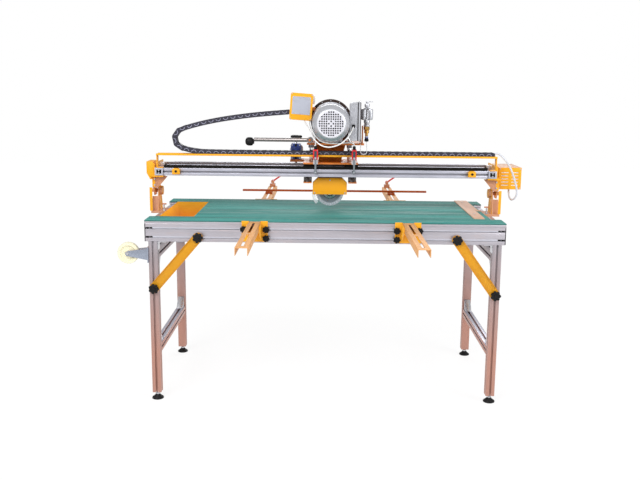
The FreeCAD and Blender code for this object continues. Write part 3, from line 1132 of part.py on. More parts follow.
def water_tap():
    """The water valve and fittings on an upright bracket at the head's right."""
    y = "-tap_y"
    plate = block(("bracket_place - 3", "bracket_place + 3"), about(y, "50"),
                  ("head_low + head_sheet", "tap_low + 60"), "tap_bracket_piece")
    node("head_plate", [plate])
    x = "tap_place"
    body = rod("z", ("tap_low - 18", "tap_high"), (x, y), "15", "tap_body")
    outlet = rod("x", ("bracket_place + 3", f"{x} + 2"), (y, "tap_low + 12"), "9", "tap_stub")
    brass = rod("z", ("tap_low - 60", "tap_low - 17"), (x, y), "10", "brass_fitting")
    elbow = rod("z", ("head_low + head_sheet + 12", "tap_low - 59"), (x, y), "8", "elbow")
    node("water_tap", [join([body, outlet, brass, elbow], "tap_whole")])
    stem = rod("z", ("tap_high", "tap_high + 8"), (x, y), "6", "tap_stem")
    lever = block((f"{x} - 8", f"{x} + 30"), about(y, "14"), ("tap_high + 8", "tap_high + 13"),
                  "tap_lever_piece")
    node("tap_lever", [join([stem, lever], "tap_lever_whole")])


def lift_lever():
    """The long lever that raises the head, on a pivot at the head plate's left edge."""
    pin = rod("y", ("-handle_y - 14", "-handle_y + 38"), ("-handle_right", "handle_z"), "6", "lift_pin")
    base = block(about("-handle_right", "24"), ("-handle_y + 12", "-handle_y + 38"),
                 ("head_low + head_sheet", "handle_z + 12"), "lift_base")
    node("head_plate", [join([pin, base], "lift_pivot_whole")])
    bar = rod("x", ("-handle_left", "-handle_right"), ("-handle_y", "handle_z"), "bar_radius", "bar")
    eye = rod("y", about("-handle_y", "20"), ("-handle_right", "handle_z"), "16", "lever_eye")
    bore = rod("y", about("-handle_y", "40"), ("-handle_right", "handle_z"), "6.05", "lever_bore")
    node("lift_lever", [cut(join([bar, eye], "lift_lever_blank"), [bore], "lift_lever_bored")])
    knob = rod("x", ("-handle_left - knob_end", "-handle_left"), ("-handle_y", "handle_z - 10"),
               "knob_thick / 2 - 3", "lever_knob")
    node("lift_lever", [knob])


# --- cords and the cable chain ----------------------------------------------------------------

sizes(
    cable_radius=3.5, tube_thin=2.5, hose_radius=5, chain_height=30, chain_width=38,
)


def drag_chain():
    """The cable chain: it lies in the tray from the right, turns over and runs up to the head."""
    z = val("tray_low + tray_sheet + play + chain_height / 2")
    y = val("-tray_front + tray_width / 2")
    route = [(878, y, z), (-560, y, z), (-700, y, z + 4), (-792, y, z + 34), (-790, y, z + 104),
             (-700, y, z + 136), (-560, y, z + 168), (-380, y, z + 194), (-197, y, z + 210)]
    edges, _ = tube_path([Vector(*p) for p in route])
    wire = Part.Wire(edges)
    half_w, half_h = val("chain_width") / 2, val("chain_height") / 2
    start = Vector(*route[0])
    corners = [start + Vector(0, a * half_w, b * half_h) for a,
               b in ((-1, -1), (1, -1), (1, 1), (-1, 1), (-1, -1))]
    shape = wire.makePipeShell([Part.makePolygon(corners)], True, False)
    print("drag_chain", round(wire.Length, 1), shape.isValid())
    piece = doc.addObject("Part::Feature", "node_drag_chain")
    piece.Shape = shape
    piece.Label = "drag_chain"
    nodes["drag_chain"] = piece


def cords():
    """The cables and hoses, each along points chosen by hand."""
    cord("motor_cable", [(139, -218, 1404), (134, -236, 1388), (112, -256, 1352), (82, -266, 1322),
                         (44, -268, 1304), (4, -267, 1299), (-34, -262, 1312), (-64, -244, 1342),
                         (-82, -212, 1376), (-94, -178, 1398), (-105, -145, 1410), (-112, -118,
                                                                                    1422.8)], "cable_radius")
    cord("left_switch_cable", [(-54, -121, 1296.3), (-55, -121, 1318), (-60, -120, 1342), (-70, -117, 1368),
                               (-80, -110, 1394), (-86, -104, 1423)], "cable_radius")
    cord("right_switch_cable", [(148, -121, 1296.8), (147, -122, 1307), (132, -133, 1316), (100, -142, 1315),
                                (66, -147, 1312),
                                (30, -148, 1311), (-14, -147, 1316), (-44, -144, 1334), (-66, -138, 1364),
                                (-78, -129, 1394), (-84, -121, 1422)], "cable_radius")
    cord("water_tube", [(212, -96, 1320.5), (213, -100, 1304), (214.5, -110, 1284), (214.5, -113, 1263),
                        (204.7, -113.5, 1253.2), (190.8, -113.5, 1253.2), (181, -113, 1263), (181, -112,
                                                                                              1286),
                        (181, -111, 1311), (181, -101, 1326), (181, -83, 1330), (181, -56, 1325),
                        (176, -22, 1319.5), (160, 14, 1318), (137, 32, 1318), (115, 36, 1318)],
         "tube_thin")
    cord("supply_hose", [(880, -75, 1260), (900, -75, 1265), (922, -75, 1256), (951, -74, 1228),
                         (974, -72, 1196),
                         (994, -69, 1155), (1011, -65, 1108), (1022, -62, 1068), (1024, -58, 1042),
                         (1017, -46, 1020), (1006, -24, 1008), (1000, 4, 1015), (998, 20, 1037),
                         (997, 23, 1065.4)], "hose_radius")


def build():
    table_frame()
    table_surface()
    water_well()
    channel_arms()
    bracket_knobs()
    side_fence()
    rear_fence()
    arm_clamps()
    pivot_posts()
    fixed_hinges()
    for s, name in SIDES:
        leg_set(s, name)
        brace(s, name, name + "_brace_foot")
    casters()
    bridge_rails()
    rail_covers()
    bridge_ends()
    travel_stops()
    drive_belt()
    cable_tray()
    end_covers()
    tilt_handles()
    carriage()
    feed_drive()
    switches()
    motor()
    head_frame()
    blade_set()
    guard()
    head_boxes()
    water_tap()
    lift_lever()
    drag_chain()
    cords()


def export():
    doc.recompute()
    for piece in doc.Objects:
        if "Invalid" in piece.State or "Error" in piece.State:
            raise RuntimeError(f"{piece.Name} failed: {piece.State}")
    os.makedirs("parts", exist_ok=True)
    for piece in nodes.values():
        if piece.Shape.isNull() or not piece.Shape.isValid():
            raise RuntimeError(f"{piece.Label} has no valid shape")
        piece.Shape.exportStep(f"parts/{piece.Label}.step")
    print(len(nodes), "nodes")


build()
export()
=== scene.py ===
"""Bridge tile cutter: the camera, the finishes and the detailed pieces around the packed model.

Lengths in the functions are in millimetres and become metres in put().
"""

import json
import math
from itertools import product

import bmesh
import bpy
import numpy as np
from bpy.props import FloatProperty, FloatVectorProperty, IntProperty, PointerProperty
from mathutils import Matrix, Vector
from mathutils.geometry import delaunay_2d_cdt

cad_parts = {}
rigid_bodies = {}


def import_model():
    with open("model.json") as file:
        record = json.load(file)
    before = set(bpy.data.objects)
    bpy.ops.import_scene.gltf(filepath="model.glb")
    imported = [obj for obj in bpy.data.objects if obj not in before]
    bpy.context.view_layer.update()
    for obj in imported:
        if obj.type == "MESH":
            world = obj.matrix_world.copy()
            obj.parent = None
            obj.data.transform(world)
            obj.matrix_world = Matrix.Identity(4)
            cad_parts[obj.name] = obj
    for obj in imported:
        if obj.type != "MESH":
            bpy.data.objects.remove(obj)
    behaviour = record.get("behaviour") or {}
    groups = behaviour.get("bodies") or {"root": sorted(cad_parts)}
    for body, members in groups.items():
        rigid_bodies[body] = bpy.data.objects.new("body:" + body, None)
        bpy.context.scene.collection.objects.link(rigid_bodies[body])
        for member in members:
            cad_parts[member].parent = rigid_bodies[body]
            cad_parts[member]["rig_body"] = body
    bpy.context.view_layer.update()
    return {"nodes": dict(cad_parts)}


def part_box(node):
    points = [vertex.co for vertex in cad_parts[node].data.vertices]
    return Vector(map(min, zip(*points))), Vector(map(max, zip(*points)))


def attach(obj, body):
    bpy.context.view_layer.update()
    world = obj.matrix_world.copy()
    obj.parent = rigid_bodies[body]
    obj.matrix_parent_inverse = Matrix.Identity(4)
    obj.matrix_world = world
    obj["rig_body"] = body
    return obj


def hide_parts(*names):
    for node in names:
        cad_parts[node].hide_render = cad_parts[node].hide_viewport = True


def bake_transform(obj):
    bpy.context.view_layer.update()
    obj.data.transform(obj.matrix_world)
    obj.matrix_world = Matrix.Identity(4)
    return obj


bl_info = {
    "name": "Bridge Tile Cutter",
    "version": (1, 0, 0),
    "blender": (4, 5, 0),
    "location": "View3D > Sidebar > Tile Cutter",
    "description": "Builds the finishes and detailed pieces of a bridge tile cutter",
    "category": "Add Mesh",
}

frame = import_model()
MM = 0.001
TURN = 2 * math.pi
SIDES = (-1, 1)
ORDER = {"z": (0, 1, 2), "y": (0, 2, 1), "x": (2, 0, 1)}


def corners(node):
    """A node's lowest and highest corner in millimetres."""
    low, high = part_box(node)
    return np.array(low) / MM, np.array(high) / MM


def placed(name, data, body=None):
    """A new object in the scene, riding one of the frame's bodies."""
    piece = bpy.data.objects.new(name, data)
    bpy.context.scene.collection.objects.link(piece)
    if body:
        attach(piece, body)
    return piece


# --- settings --------------------------------------------------------------------------------


def colour(name, default):
    return FloatVectorProperty(name=name, description=f"Colour of {name.lower()}", subtype="COLOR",
                               size=3, min=0, max=1, default=default)


class CutterFinish(bpy.types.PropertyGroup):
    """Colours of the paints, metals and plastics, as linear values."""

    aluminium: colour("Aluminium profiles", (0.50, 0.475, 0.52))
    rubber: colour("Ribbed rubber", (0.052, 0.30, 0.27))
    yellow: colour("Yellow paint", (0.86, 0.39, 0.012))
    beige: colour("Beige paint", (0.69, 0.35, 0.13))
    orange: colour("Orange paint", (0.62, 0.17, 0.012))
    bar: colour("Fence bar paint", (0.36, 0.065, 0.008))
    red: colour("Red plastic", (0.74, 0.012, 0.02))
    blue: colour("Blue paint", (0.008, 0.035, 0.22))
    zinc: colour("Zinc plate", (0.62, 0.62, 0.65))
    silver: colour("Silver paint", (0.55, 0.56, 0.60))
    chain: colour("Chain plastic", (0.020, 0.018, 0.034))
    cream: colour("Nylon", (0.84, 0.80, 0.58))
    black: colour("Black plastic", (0.012, 0.012, 0.013))
    brown: colour("Brown paint", (0.030, 0.014, 0.010))
    white: colour("Cable sheath", (0.85, 0.85, 0.85))


def number(name, text, default, least=0.0, **more):
    return FloatProperty(name=name, description=text, default=default, min=least, **more)


class CutterDetail(bpy.types.PropertyGroup):
    """Sizes of the surface detail."""

    rib_pitch: number("Rib pitch", "Distance between the ribs of the rubber", 0.0066, 0.003, unit="LENGTH")
    rib_depth: number("Rib depth", "Depth of the grooves between the ribs", 0.0013, 0.0002, unit="LENGTH")
    link_pitch: number("Link pitch", "Distance between the chain's pins", 0.039, 0.01, unit="LENGTH")
    hole_pitch: number("Hole pitch", "Distance between the fan cover's holes", 0.0114, 0.004, unit="LENGTH")
    lobes: IntProperty(name="Knob lobes", description="Lobes on each star knob", default=7, min=3)
    segments: IntProperty(name="Blade segments", description="Segments on the blade's rim", default=18, min=6)


class CutterStage(bpy.types.PropertyGroup):
    """The lights and the camera's lens."""

    lens: number("Lens", "Focal length on a 36 mm sensor, in millimetres", 45.585, 10)
    key_power: number("Key light", "Power of the main softbox", 120, unit="POWER")
    fill_power: number("Fill light", "Power of the side softbox", 60, unit="POWER")
    world_level: number("World level", "Strength of the surrounding light", 0.56)


def settings():
    return bpy.context.scene.cutter_finish, bpy.context.scene.cutter_detail, bpy.context.scene.cutter_stage


# --- materials -------------------------------------------------------------------------------


def add(tree, kind, inputs=None, **attributes):
    """A shader node with its sockets linked or set."""
    item = tree.nodes.new(kind)
    for key, value in attributes.items():
        setattr(item, key, value)
    for key, value in (inputs or {}).items():
        if isinstance(value, bpy.types.NodeSocket):
            tree.links.new(value, item.inputs[key])
        else:
            item.inputs[key].default_value = value
    return item


def noise(tree, coords, scale, detail=3.0, stretch=(1, 1, 1), rough=0.55):
    """Noise on object coordinates, drawn out along an axis where stretch is small."""
    mapping = add(tree, "ShaderNodeMapping", {"Vector": coords, "Scale": stretch})
    texture = add(tree, "ShaderNodeTexNoise",
                  {"Vector": mapping.outputs[0], "Scale": scale, "Detail": detail, "Roughness": rough})
    return texture.outputs["Fac"]


def spread(tree, value, low, high, start=0.3, end=0.7):
    return add(tree, "ShaderNodeMapRange", {"Value": value, "From Min": start, "From Max": end,
                                            "To Min": low, "To Max": high}).outputs[0]


def mixed(tree, factor, first, second):
    mix = add(tree, "ShaderNodeMix", {"Factor": factor}, data_type="RGBA")
    for socket, value in ((mix.inputs[6], first), (mix.inputs[7], second)):
        if isinstance(value, bpy.types.NodeSocket):
            tree.links.new(value, socket)
        else:
            socket.default_value = (*value, 1)
    return mix.outputs[2]


def scaled(tint, factor):
    return tuple(min(1.0, c * factor) for c in tint)


PATCH_SCALE, MARK_SCALE, RELIEF = 9, 60, 0.0004


def shader_of(material):
    """A material's tree, its main shader and its object coordinates."""
    tree = material.node_tree
    return tree, tree.nodes["Principled BSDF"], add(tree, "ShaderNodeTexCoord").outputs["Object"]


def surface(name, tint, roughness, metallic=0.0, grain=(1, 1, 1), contrast=0.08, bump=0.15, fine=700,
            coat=0.0, dust=None, specular=0.5):
    """A finish whose colour and gloss drift in patches, with a fine texture drawn out along the grain."""
    material = bpy.data.materials.new(name)
    material.use_nodes = True
    tree, shader, coords = shader_of(material)
    patches = noise(tree, coords, PATCH_SCALE, 4)
    texture = noise(tree, coords, fine, 2, grain)
    mark = noise(tree, coords, MARK_SCALE, 5, tuple(math.sqrt(g) for g in grain), 0.7)
    base = mixed(tree, spread(tree, patches, 0, 1), scaled(tint, 1 - contrast), scaled(tint, 1 + contrast))
    base = mixed(tree, spread(tree, mark, 0, 0.5, 0.52, 0.75), base, dust or scaled(tint, 1 - 2.2 * contrast))
    gloss = add(tree, "ShaderNodeMath", {0: spread(tree, mark, roughness - 0.06, roughness + 0.07),
                                         1: spread(tree, texture, -0.04, 0.04)}, operation="ADD")
    relief = add(tree, "ShaderNodeBump", {"Strength": bump, "Distance": RELIEF, "Height": texture})
    tree.links.new(base, shader.inputs["Base Color"])
    tree.links.new(gloss.outputs[0], shader.inputs["Roughness"])
    tree.links.new(relief.outputs[0], shader.inputs["Normal"])
    for socket, value in (("Metallic", metallic), ("Coat Weight", coat), ("Coat Roughness", 0.12),
                          ("Specular IOR Level", specular)):
        shader.inputs[socket].default_value = value
    return material


def paint(name, tint, roughness=0.5, contrast=0.1, bump=0.16, specular=0.25, coat=0.0, dust=None):
    return surface(name, tint, roughness, contrast=contrast, bump=bump, fine=420, coat=coat, dust=dust,
                   specular=specular)


def plastic(name, tint, roughness=0.4, contrast=0.04, bump=0.1, coat=0.1, fine=700, specular=0.5):
    return surface(name, tint, roughness, contrast=contrast, bump=bump, fine=fine, coat=coat,
                   specular=specular)


def rubber_material(tint, detail):
    """Rubber with streaks along the planks where tiles have rubbed it pale, darker in the grooves."""
    material = surface("ribbed_rubber", tint, 0.62, contrast=0.14, bump=0.2, fine=500, specular=0.3)
    tree, shader, coords = shader_of(material)
    streaks = noise(tree, coords, 1.0, 5, (2.2, 46, 46), 0.7)
    broad = noise(tree, coords, 1.0, 2, (0.8, 12, 12))
    pale = tuple(0.55 * c + 0.33 for c in tint)
    worn = mixed(tree, spread(tree, streaks, 0, 0.62, 0.47, 0.66), scaled(tint, 0.66), pale)
    worn = mixed(tree, spread(tree, broad, 0, 0.75, 0.42, 0.62), worn, scaled(tint, 1.12))
    height = add(tree, "ShaderNodeSeparateXYZ", {0: coords}).outputs["Z"]
    top = corners("rubber_pads")[1][2] * MM
    # painted shade: the colour darkens by the height towards the bottom of the grooves between the ribs
    groove = spread(tree, height, 0.42, 1.0, top - detail.rib_depth, top - 0.2 * detail.rib_depth)
    shade = add(tree, "ShaderNodeVectorMath", {0: worn, "Scale": groove}, operation="SCALE")
    tree.links.new(shade.outputs[0], shader.inputs["Base Color"])
    return material


def clear_plastic(name, tint, roughness, alpha):
    material = plastic(name, tint, roughness, 0.03, 0.05, 0.3)
    material.node_tree.nodes["Principled BSDF"].inputs["Alpha"].default_value = alpha
    return material


def graded(material, heights, shares, tint):
    """Mixes a colour into a material's own by the height; heights and shares each run from low to high."""
    tree, shader, coords = shader_of(material)
    height = add(tree, "ShaderNodeSeparateXYZ", {0: coords}).outputs["Z"]
    colours = shader.inputs["Base Color"]
    own = colours.links[0].from_socket
    tree.links.new(mixed(tree, spread(tree, height, *shares, *heights), own, tint), colours)
    return material


LIBRARY = {}
ALONG_X, ALONG_Y, ALONG_Z = (0.02, 1, 1), (1, 0.02, 1), (1, 1, 0.02)
BRUSHED = (1, 0.05, 0.05)


def make_finishes():
    """Every finish of the cutter, by the name that the pieces use."""
    tint, detail, _ = settings()
    well = [corner[2] * MM for corner in corners("water_well")]
    LIBRARY.update({
        "aluminium_x": surface("aluminium_x", tint.aluminium, 0.36, 0.72, ALONG_X, 0.05, 0.22, 900,
                               dust=(0.55, 0.44, 0.42)),
        "aluminium_y": surface("aluminium_y", tint.aluminium, 0.36, 0.72, ALONG_Y, 0.05, 0.22, 900,
                               dust=(0.55, 0.44, 0.42)),
        "leg": graded(
            surface("leg_aluminium", scaled(tint.aluminium, 0.72), 0.40, 0.5, ALONG_Z, 0.06, 0.22, 900,
                    dust=(0.42, 0.30, 0.28)), (0.25, 0.85), (0.8, 0), (0.54, 0.245, 0.165)),
        "rubber": rubber_material(tint.rubber, detail),
        "yellow": paint("yellow_paint", tint.yellow, 0.42, 0.05, 0.18, 0.3, 0.05),
        "amber": paint("amber_paint", scaled(tint.yellow, 0.72), 0.42, 0.06, 0.18, 0.3, 0.05),
        # a brighter copy of the yellow paint: painted light on the blade guard
        "lit_yellow": paint("lit_yellow_paint", (1.0, 0.425, 0.014), 0.42, 0.04, 0.18, 0.3),
        "beige": paint("beige_paint", tint.beige, contrast=0.08),
        # the side fence's own colour; on the right end box's top it is painted reflection
        "peach": paint("peach_paint", (0.68, 0.42, 0.29), contrast=0.07),
        # a shaded copy of the paint: painted shade on the fronts of the posts and of the bridge's ends
        "shaded": paint("shaded_paint", (0.55, 0.27, 0.16), contrast=0.12, specular=0.2),
        "rust": paint("rust_paint", (0.50, 0.19, 0.09), contrast=0.14, bump=0.2),
        "orange": paint("orange_paint", tint.orange, 0.42, 0.08, 0.18, 0.5, 0.2),
        # painted shade: the well's paint darkens and reddens towards its bottom
        "well": graded(paint("well_paint", (0.98, 0.42, 0.008), 0.7, 0.1, 0.1, 0.05), well, (1, 0),
                       (0.62, 0.13, 0.004)),
        "seal": paint("seal_rubber", (0.010, 0.009, 0.008), 0.75, 0.2, 0.2, 0.08, dust=(0.02, 0.018, 0.018)),
        "belt": paint("belt_rubber", (0.014, 0.013, 0.013), 0.6, 0.2, 0.4, 0.5),
        "groove": surface("slot_strip", (0.46, 0.46, 0.52), 0.5, 0.1, ALONG_X, 0.05, 0.2),
        "rail": surface("rail_aluminium", (0.52, 0.52, 0.60), 0.34, 0.6, ALONG_X, 0.07, 0.22, 900),
        "slab": surface("cover_bar", (0.22, 0.20, 0.21), 0.36, 0.5, ALONG_X, 0.10, 0.2, 900),
        "label": surface("bare_plate", (0.50, 0.52, 0.60), 0.33, 0.55, (0.03, 1, 1), 0.04, 0.2, 900),
        "rim": surface("pale_plate", (0.80, 0.81, 0.86), 0.30, 0.3, contrast=0.04, bump=0.12, fine=520),
        "disc": surface("grille_plate", (0.66, 0.66, 0.72), 0.36, 0.3, contrast=0.05, bump=0.12, fine=520),
        "edge": surface("ground_rim", (0.58, 0.60, 0.66), 0.26, 0.5, contrast=0.05, bump=0.12, fine=520),
        "silver": surface("silver_paint", tint.silver, 0.34, 0.62, contrast=0.05, bump=0.2, fine=520),
        "fork": surface("fork_zinc", (0.36, 0.40, 0.49), 0.28, 0.6, fine=600),
        "zinc": surface("zinc_plate", tint.zinc, 0.30, 0.85, fine=600),
        "core": surface("blade_steel", (0.22, 0.25, 0.28), 0.34, 0.5, BRUSHED, 0.08, 0.2, 900),
        "steel": surface("ground_steel", (0.60, 0.61, 0.63), 0.30, 0.9, BRUSHED, 0.08, 0.3, 1200),
        # darker and browner than chrome: on the lift lever's bar it is painted reflection of the dark parts
        # below
        "lever": surface("lever_steel", (0.27, 0.245, 0.24), 0.24, 0.9, (0.05, 1, 1), 0.1, 0.08),
        "chrome": surface("chrome", (0.80, 0.80, 0.82), 0.13, 1.0, contrast=0.04, bump=0.03),
        "brass": surface("brass", (0.62, 0.36, 0.10), 0.28, 0.95, contrast=0.1, bump=0.1),
        "bar": plastic("bar_paint", tint.bar, 0.5, 0.1, 0.15, 0, specular=0.2),
        "grip": plastic("red_grip", scaled(tint.red, 0.75), 0.45, 0.08, coat=0, specular=0.2),
        "red": plastic("red_plastic", tint.red, 0.38, 0.05, specular=0.3),
        "blue": plastic("blue_paint", tint.blue, 0.38, 0.14, 0.35, 0.3, 260),
        "brown": plastic("brown_paint", tint.brown, 0.42, 0.14, 0.2, 0.12),
        # the belt case: dark brown towards the top as painted shade, orange-brown lower down
        "housing": graded(plastic("housing_paint", tint.brown, 0.5, 0.1, 0.2, 0, specular=0.2),
                          (1.300, 1.335), (1, 0), scaled(tint.orange, 0.8)),
        # pale bows on the chain's links: painted highlights on their edges
        "arc": plastic("chain_highlight_plastic", (0.27, 0.27, 0.36), 0.4, 0.1, coat=0, fine=320),
        "chain": plastic("chain_plastic", tint.chain, 0.46, 0.16, 0.2, 0, 320),
        "cream": plastic("nylon", tint.cream, 0.42, 0.03, 0.04),
        "black": surface("black_plastic", scaled(tint.black, 0.6), 0.45, contrast=0.2, bump=0.25, fine=380,
                         specular=0.2, dust=(0.022, 0.021, 0.023)),
        "white": plastic("cable_sheath", tint.white, 0.36, 0.03, 0.08),
        # greyer and bluer than the white cable sheath: painted shade on the white supply hose
        "hose": plastic("hose_sheath", (0.62, 0.64, 0.70), 0.36, bump=0.08),
        "slate": plastic("dark_glass", (0.03, 0.055, 0.07), 0.22, 0.1, 0.05, 0.6),
        "clear": clear_plastic("clear_plastic", (0.72, 0.76, 0.78), 0.12, 0.42),
        "pipe": clear_plastic("clear_tube", (0.80, 0.83, 0.86), 0.15, 0.55),
    })


def sided(*names):
    """The left and the right node of each name."""
    return [f"{side}_{name}" for name in names for side in ("left", "right")]


NODE_FINISH = {
    "aluminium_x": ["long_beams", "table_planks", "rail_beams"],
    "aluminium_y": ["cross_beams"],
    "leg": sided("leg_frame"),
    "rubber": ["rubber_pads"],
    "yellow": ["arm_brackets", "bridge_ends", "travel_stops", "cable_tray", "end_covers", "pivot_posts",
               "blade_guard", "control_box", *sided("brace")],
    "beige": ["channel_arms", "side_fence"],
    "orange": ["carriage_plate", "head_plate", "water_well"],
    "bar": ["rear_fence"],
    "red": ["limit_switches", *sided("clamp_lever")],
    "blue": ["feed_gearbox"],
    "zinc": ["table_fittings", "caster_forks", "roller_hangers", *sided("leg_fittings", "switch_lever")],
    "silver": ["motor_body", "fan_cover"],
    "chrome": ["water_tap", "tap_lever", "lift_lever"],
    "steel": ["feed_shaft", "motor_rotor", "spindle_set", "blade"],
    "chain": ["drag_chain"],
    "cream": ["front_caster_wheel", "rear_caster_wheel"],
    "black": ["bracket_knobs", "carriage_guides", *sided("front_foot", "rear_foot")],
    "belt": ["drive_belt"],
    "housing": ["belt_case"],
    "clear": ["splash_flap"],
    "pipe": ["water_tube"],
    "white": ["motor_cable", "supply_hose", *sided("switch_cable")],
}


# --- surfaces --------------------------------------------------------------------------------


def quads(rows, columns, wrap_rows=False, wrap_columns=True):
    """Four-sided faces over a grid of rows by columns points, wrapped where the surface closes."""
    r = np.arange(rows if wrap_rows else rows - 1)[:, None]
    c = np.arange(columns if wrap_columns else columns - 1)[None, :]
    right, down = (c + 1) % columns, (r + 1) % rows
    square = np.stack([r * columns + c, r * columns + right, down * columns + right, down * columns + c], -1)
    return square.reshape(-1, 4).tolist()


def skin(rings):
    """A closed skin over rings[i, j], point j of ring i, with a flat face on each end."""
    rings = np.asarray(rings, float)
    rows, columns = rings.shape[:2]
    ends = [list(range(columns)), list(range((rows - 1) * columns, rows * columns))]
    return rings.reshape(-1, 3), quads(rows, columns) + ends


def turned(profile, segments):
    """Points (r, h) of a profile turned about Z: (r cos a, r sin a, h)."""
    profile = np.asarray(profile, float)
    angle = np.arange(segments) * TURN / segments
    return np.stack([profile[:, :1] * np.cos(angle), profile[:, :1] * np.sin(angle),
                     np.broadcast_to(profile[:, 1:], (len(profile), segments))], -1)


def lathe(profile, segments=48):
    """A profile turned about Z and closed at both ends."""
    return skin(turned([(max(r, 1e-3), h) for r, h in profile], segments))


def turned_ring(profile, segments=64):
    """A closed profile turned about Z."""
    return turned(profile, segments).reshape(-1, 3), quads(len(profile), segments, wrap_rows=True)


def swept(outline, low, high, axis="z"):
    """A flat outline carried straight along an axis, from low to high."""
    outline = np.asarray(outline, float)
    rings = [np.column_stack([outline, np.full(len(outline), h)]) for h in (low, high)]
    points, faces = skin(rings)
    return points[:, ORDER[axis]], faces


def slab(low, high):
    """A block between two corners."""
    (a, b, c), (d, e, f) = np.sort([low, high], 0)
    return swept([(a, b), (d, b), (d, e), (a, e)], c, f)


def twin(low, high):
    """Two blocks, one on each side of the machine's middle."""
    return merged(*(slab((side * low[0], *low[1:]), (side * high[0], *high[1:])) for side in SIDES))


def arc(radius, centre, angles):
    """Points of a circle at some angles."""
    return np.column_stack([centre[0] + radius * np.cos(angles), centre[1] + radius * np.sin(angles)])


def circle(radius, centre=(0, 0), count=16, phase=0.0):
    """Points spaced evenly round a circle."""
    return arc(radius, centre, np.arange(count) * TURN / count + phase)


def rounded(width, height, radius, steps=6, centre=(0, 0)):
    """A rectangle's outline with quarter circles at its corners."""
    quarter = np.linspace(0, TURN / 4, steps)
    x, y = width / 2 - radius, height / 2 - radius
    parts = [arc(radius, middle, quarter + k * TURN / 4)
             for k, middle in enumerate(((x, y), (-x, y), (-x, -y), (x, -y)))]
    return np.vstack(parts) + centre


def aimed(shape, axis, at=(0, 0, 0)):
    """The shape with its Z turned to an axis and its origin moved to a point."""
    points, faces = shape
    order, sign = {"z": ((0, 1, 2), (1, 1, 1)), "-z": ((0, 1, 2), (1, -1, -1)),
                   "y": ((0, 2, 1), (1, 1, -1)), "-y": ((0, 2, 1), (1, -1, 1)),
                   "x": ((2, 1, 0), (1, 1, -1)), "-x": ((2, 1, 0), (-1, 1, 1))}[axis]
    return points[:, order] * sign + np.asarray(at, float), faces


def leaned(shape, degrees, at):
    """The shape turned about the Y axis through a point, by the right-hand rule."""
    points, faces = shape
    a = math.radians(degrees)
    turn = np.array([[math.cos(a), 0, math.sin(a)], [0, 1, 0], [-math.sin(a), 0, math.cos(a)]])
    return (points - at) @ turn.T + at, faces


def merged(*shapes):
    """Several shapes as one."""
    points, faces, start = [], [], 0
    for p, f in shapes:
        points.append(p)
        faces += [[start + i for i in face] for face in f]
        start += len(p)
    return np.vstack(points), faces


SLOTS = {"aluminium_x": "aluminium", "aluminium_y": "aluminium", "rail": "aluminium", "rubber": "rubber_pad",
         "yellow": "yellow_paint", "beige": "beige_paint", "orange": "orange_paint", "zinc": "zinc",
         "black": "black_plastic", "belt": "black_rubber", "cream": "nylon", "chrome": "chrome",
         "steel": "steel", "silver": "grey_metal", "blue": "blue_paint", "red": "red_plastic",
         "housing": "brown_metal", "clear": "clear_plastic", "white": "white_pvc", "chain": "chain_plastic"}
SHARP = math.radians(32)


def put(name, shape, finish, body, bevel=0.0, replaces=None, slot=None, smooth=35):
    """Makes a mesh of a shape in millimetres, with its faces outwards, its edges eased and its body named."""
    points, faces = shape
    mesh = bpy.data.meshes.new(name)
    mesh.from_pydata((points * MM).tolist(), [], faces)
    work = bmesh.new()
    work.from_mesh(mesh)
    bmesh.ops.recalc_face_normals(work, faces=work.faces)
    work.to_mesh(mesh)
    work.free()
    mesh.shade_smooth()
    mesh.set_sharp_from_angle(angle=math.radians(smooth))
    mesh.materials.append(LIBRARY[finish])
    piece = placed(name, mesh, body)
    if bevel:
        ease = piece.modifiers.new("ease", "BEVEL")
        ease.width = bevel * MM
        ease.segments = 2
        ease.limit_method = "ANGLE"
        ease.angle_limit = SHARP
        ease.harden_normals = True
    if replaces:
        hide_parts(replaces)
        slot = slot or SLOTS[finish]
    return piece


# --- cords -----------------------------------------------------------------------------------


def metres(point):
    return [MM * c for c in point]


def spline(name, points, radius, finish, body):
    """A cord along a smooth line whose control points are in millimetres."""
    curve = bpy.data.curves.new(name, "CURVE")
    curve.dimensions = "3D"
    line = curve.splines.new("NURBS")
    line.points.add(len(points) - 1)
    for point, place in zip(line.points, points):
        point.co = (*metres(place), 1)
    line.order_u = 3
    line.use_endpoint_u = True
    curve.bevel_depth = radius * MM
    curve.bevel_resolution = 5
    curve.resolution_u = 12
    curve.use_fill_caps = True
    curve.materials.append(LIBRARY[finish])
    return placed(name, curve, body)


MOTOR_CABLE = [(139, -218, 1404), (134, -236, 1388), (112, -256, 1352), (82, -266, 1322), (44, -268, 1304),
               (4, -267, 1299), (-34, -262, 1312), (-64, -244, 1342), (-82, -212, 1376), (-94, -178, 1398),
               (-105, -145, 1410), (-112, -118, 1422.8)]
LEFT_CABLE = [(-54, -121, 1296.3), (-55, -121, 1318), (-60, -120, 1342), (-70, -117, 1368), (-80, -110, 1394),
              (-86, -104, 1423)]
RIGHT_CABLE = [(148, -121, 1296.8), (147, -122, 1307), (132, -133, 1316), (100, -142, 1315), (66, -147, 1312),
               (30, -148, 1311), (-14, -147, 1316), (-44, -144, 1334), (-66, -138, 1364), (-78, -129, 1394),
               (-84, -121, 1422)]
WATER_TUBE = [(212, -96, 1320.5), (213, -100, 1304), (214.5, -110, 1284), (214.5, -113, 1263),
              (204.7, -113.5, 1253.2), (190.8, -113.5, 1253.2), (181, -113, 1263), (181, -112, 1286),
              (181, -111, 1311), (181, -101, 1326), (181, -83, 1330), (181, -56, 1325), (176, -22, 1319.5),
              (160, 14, 1318), (137, 32, 1318), (115, 36, 1318)]
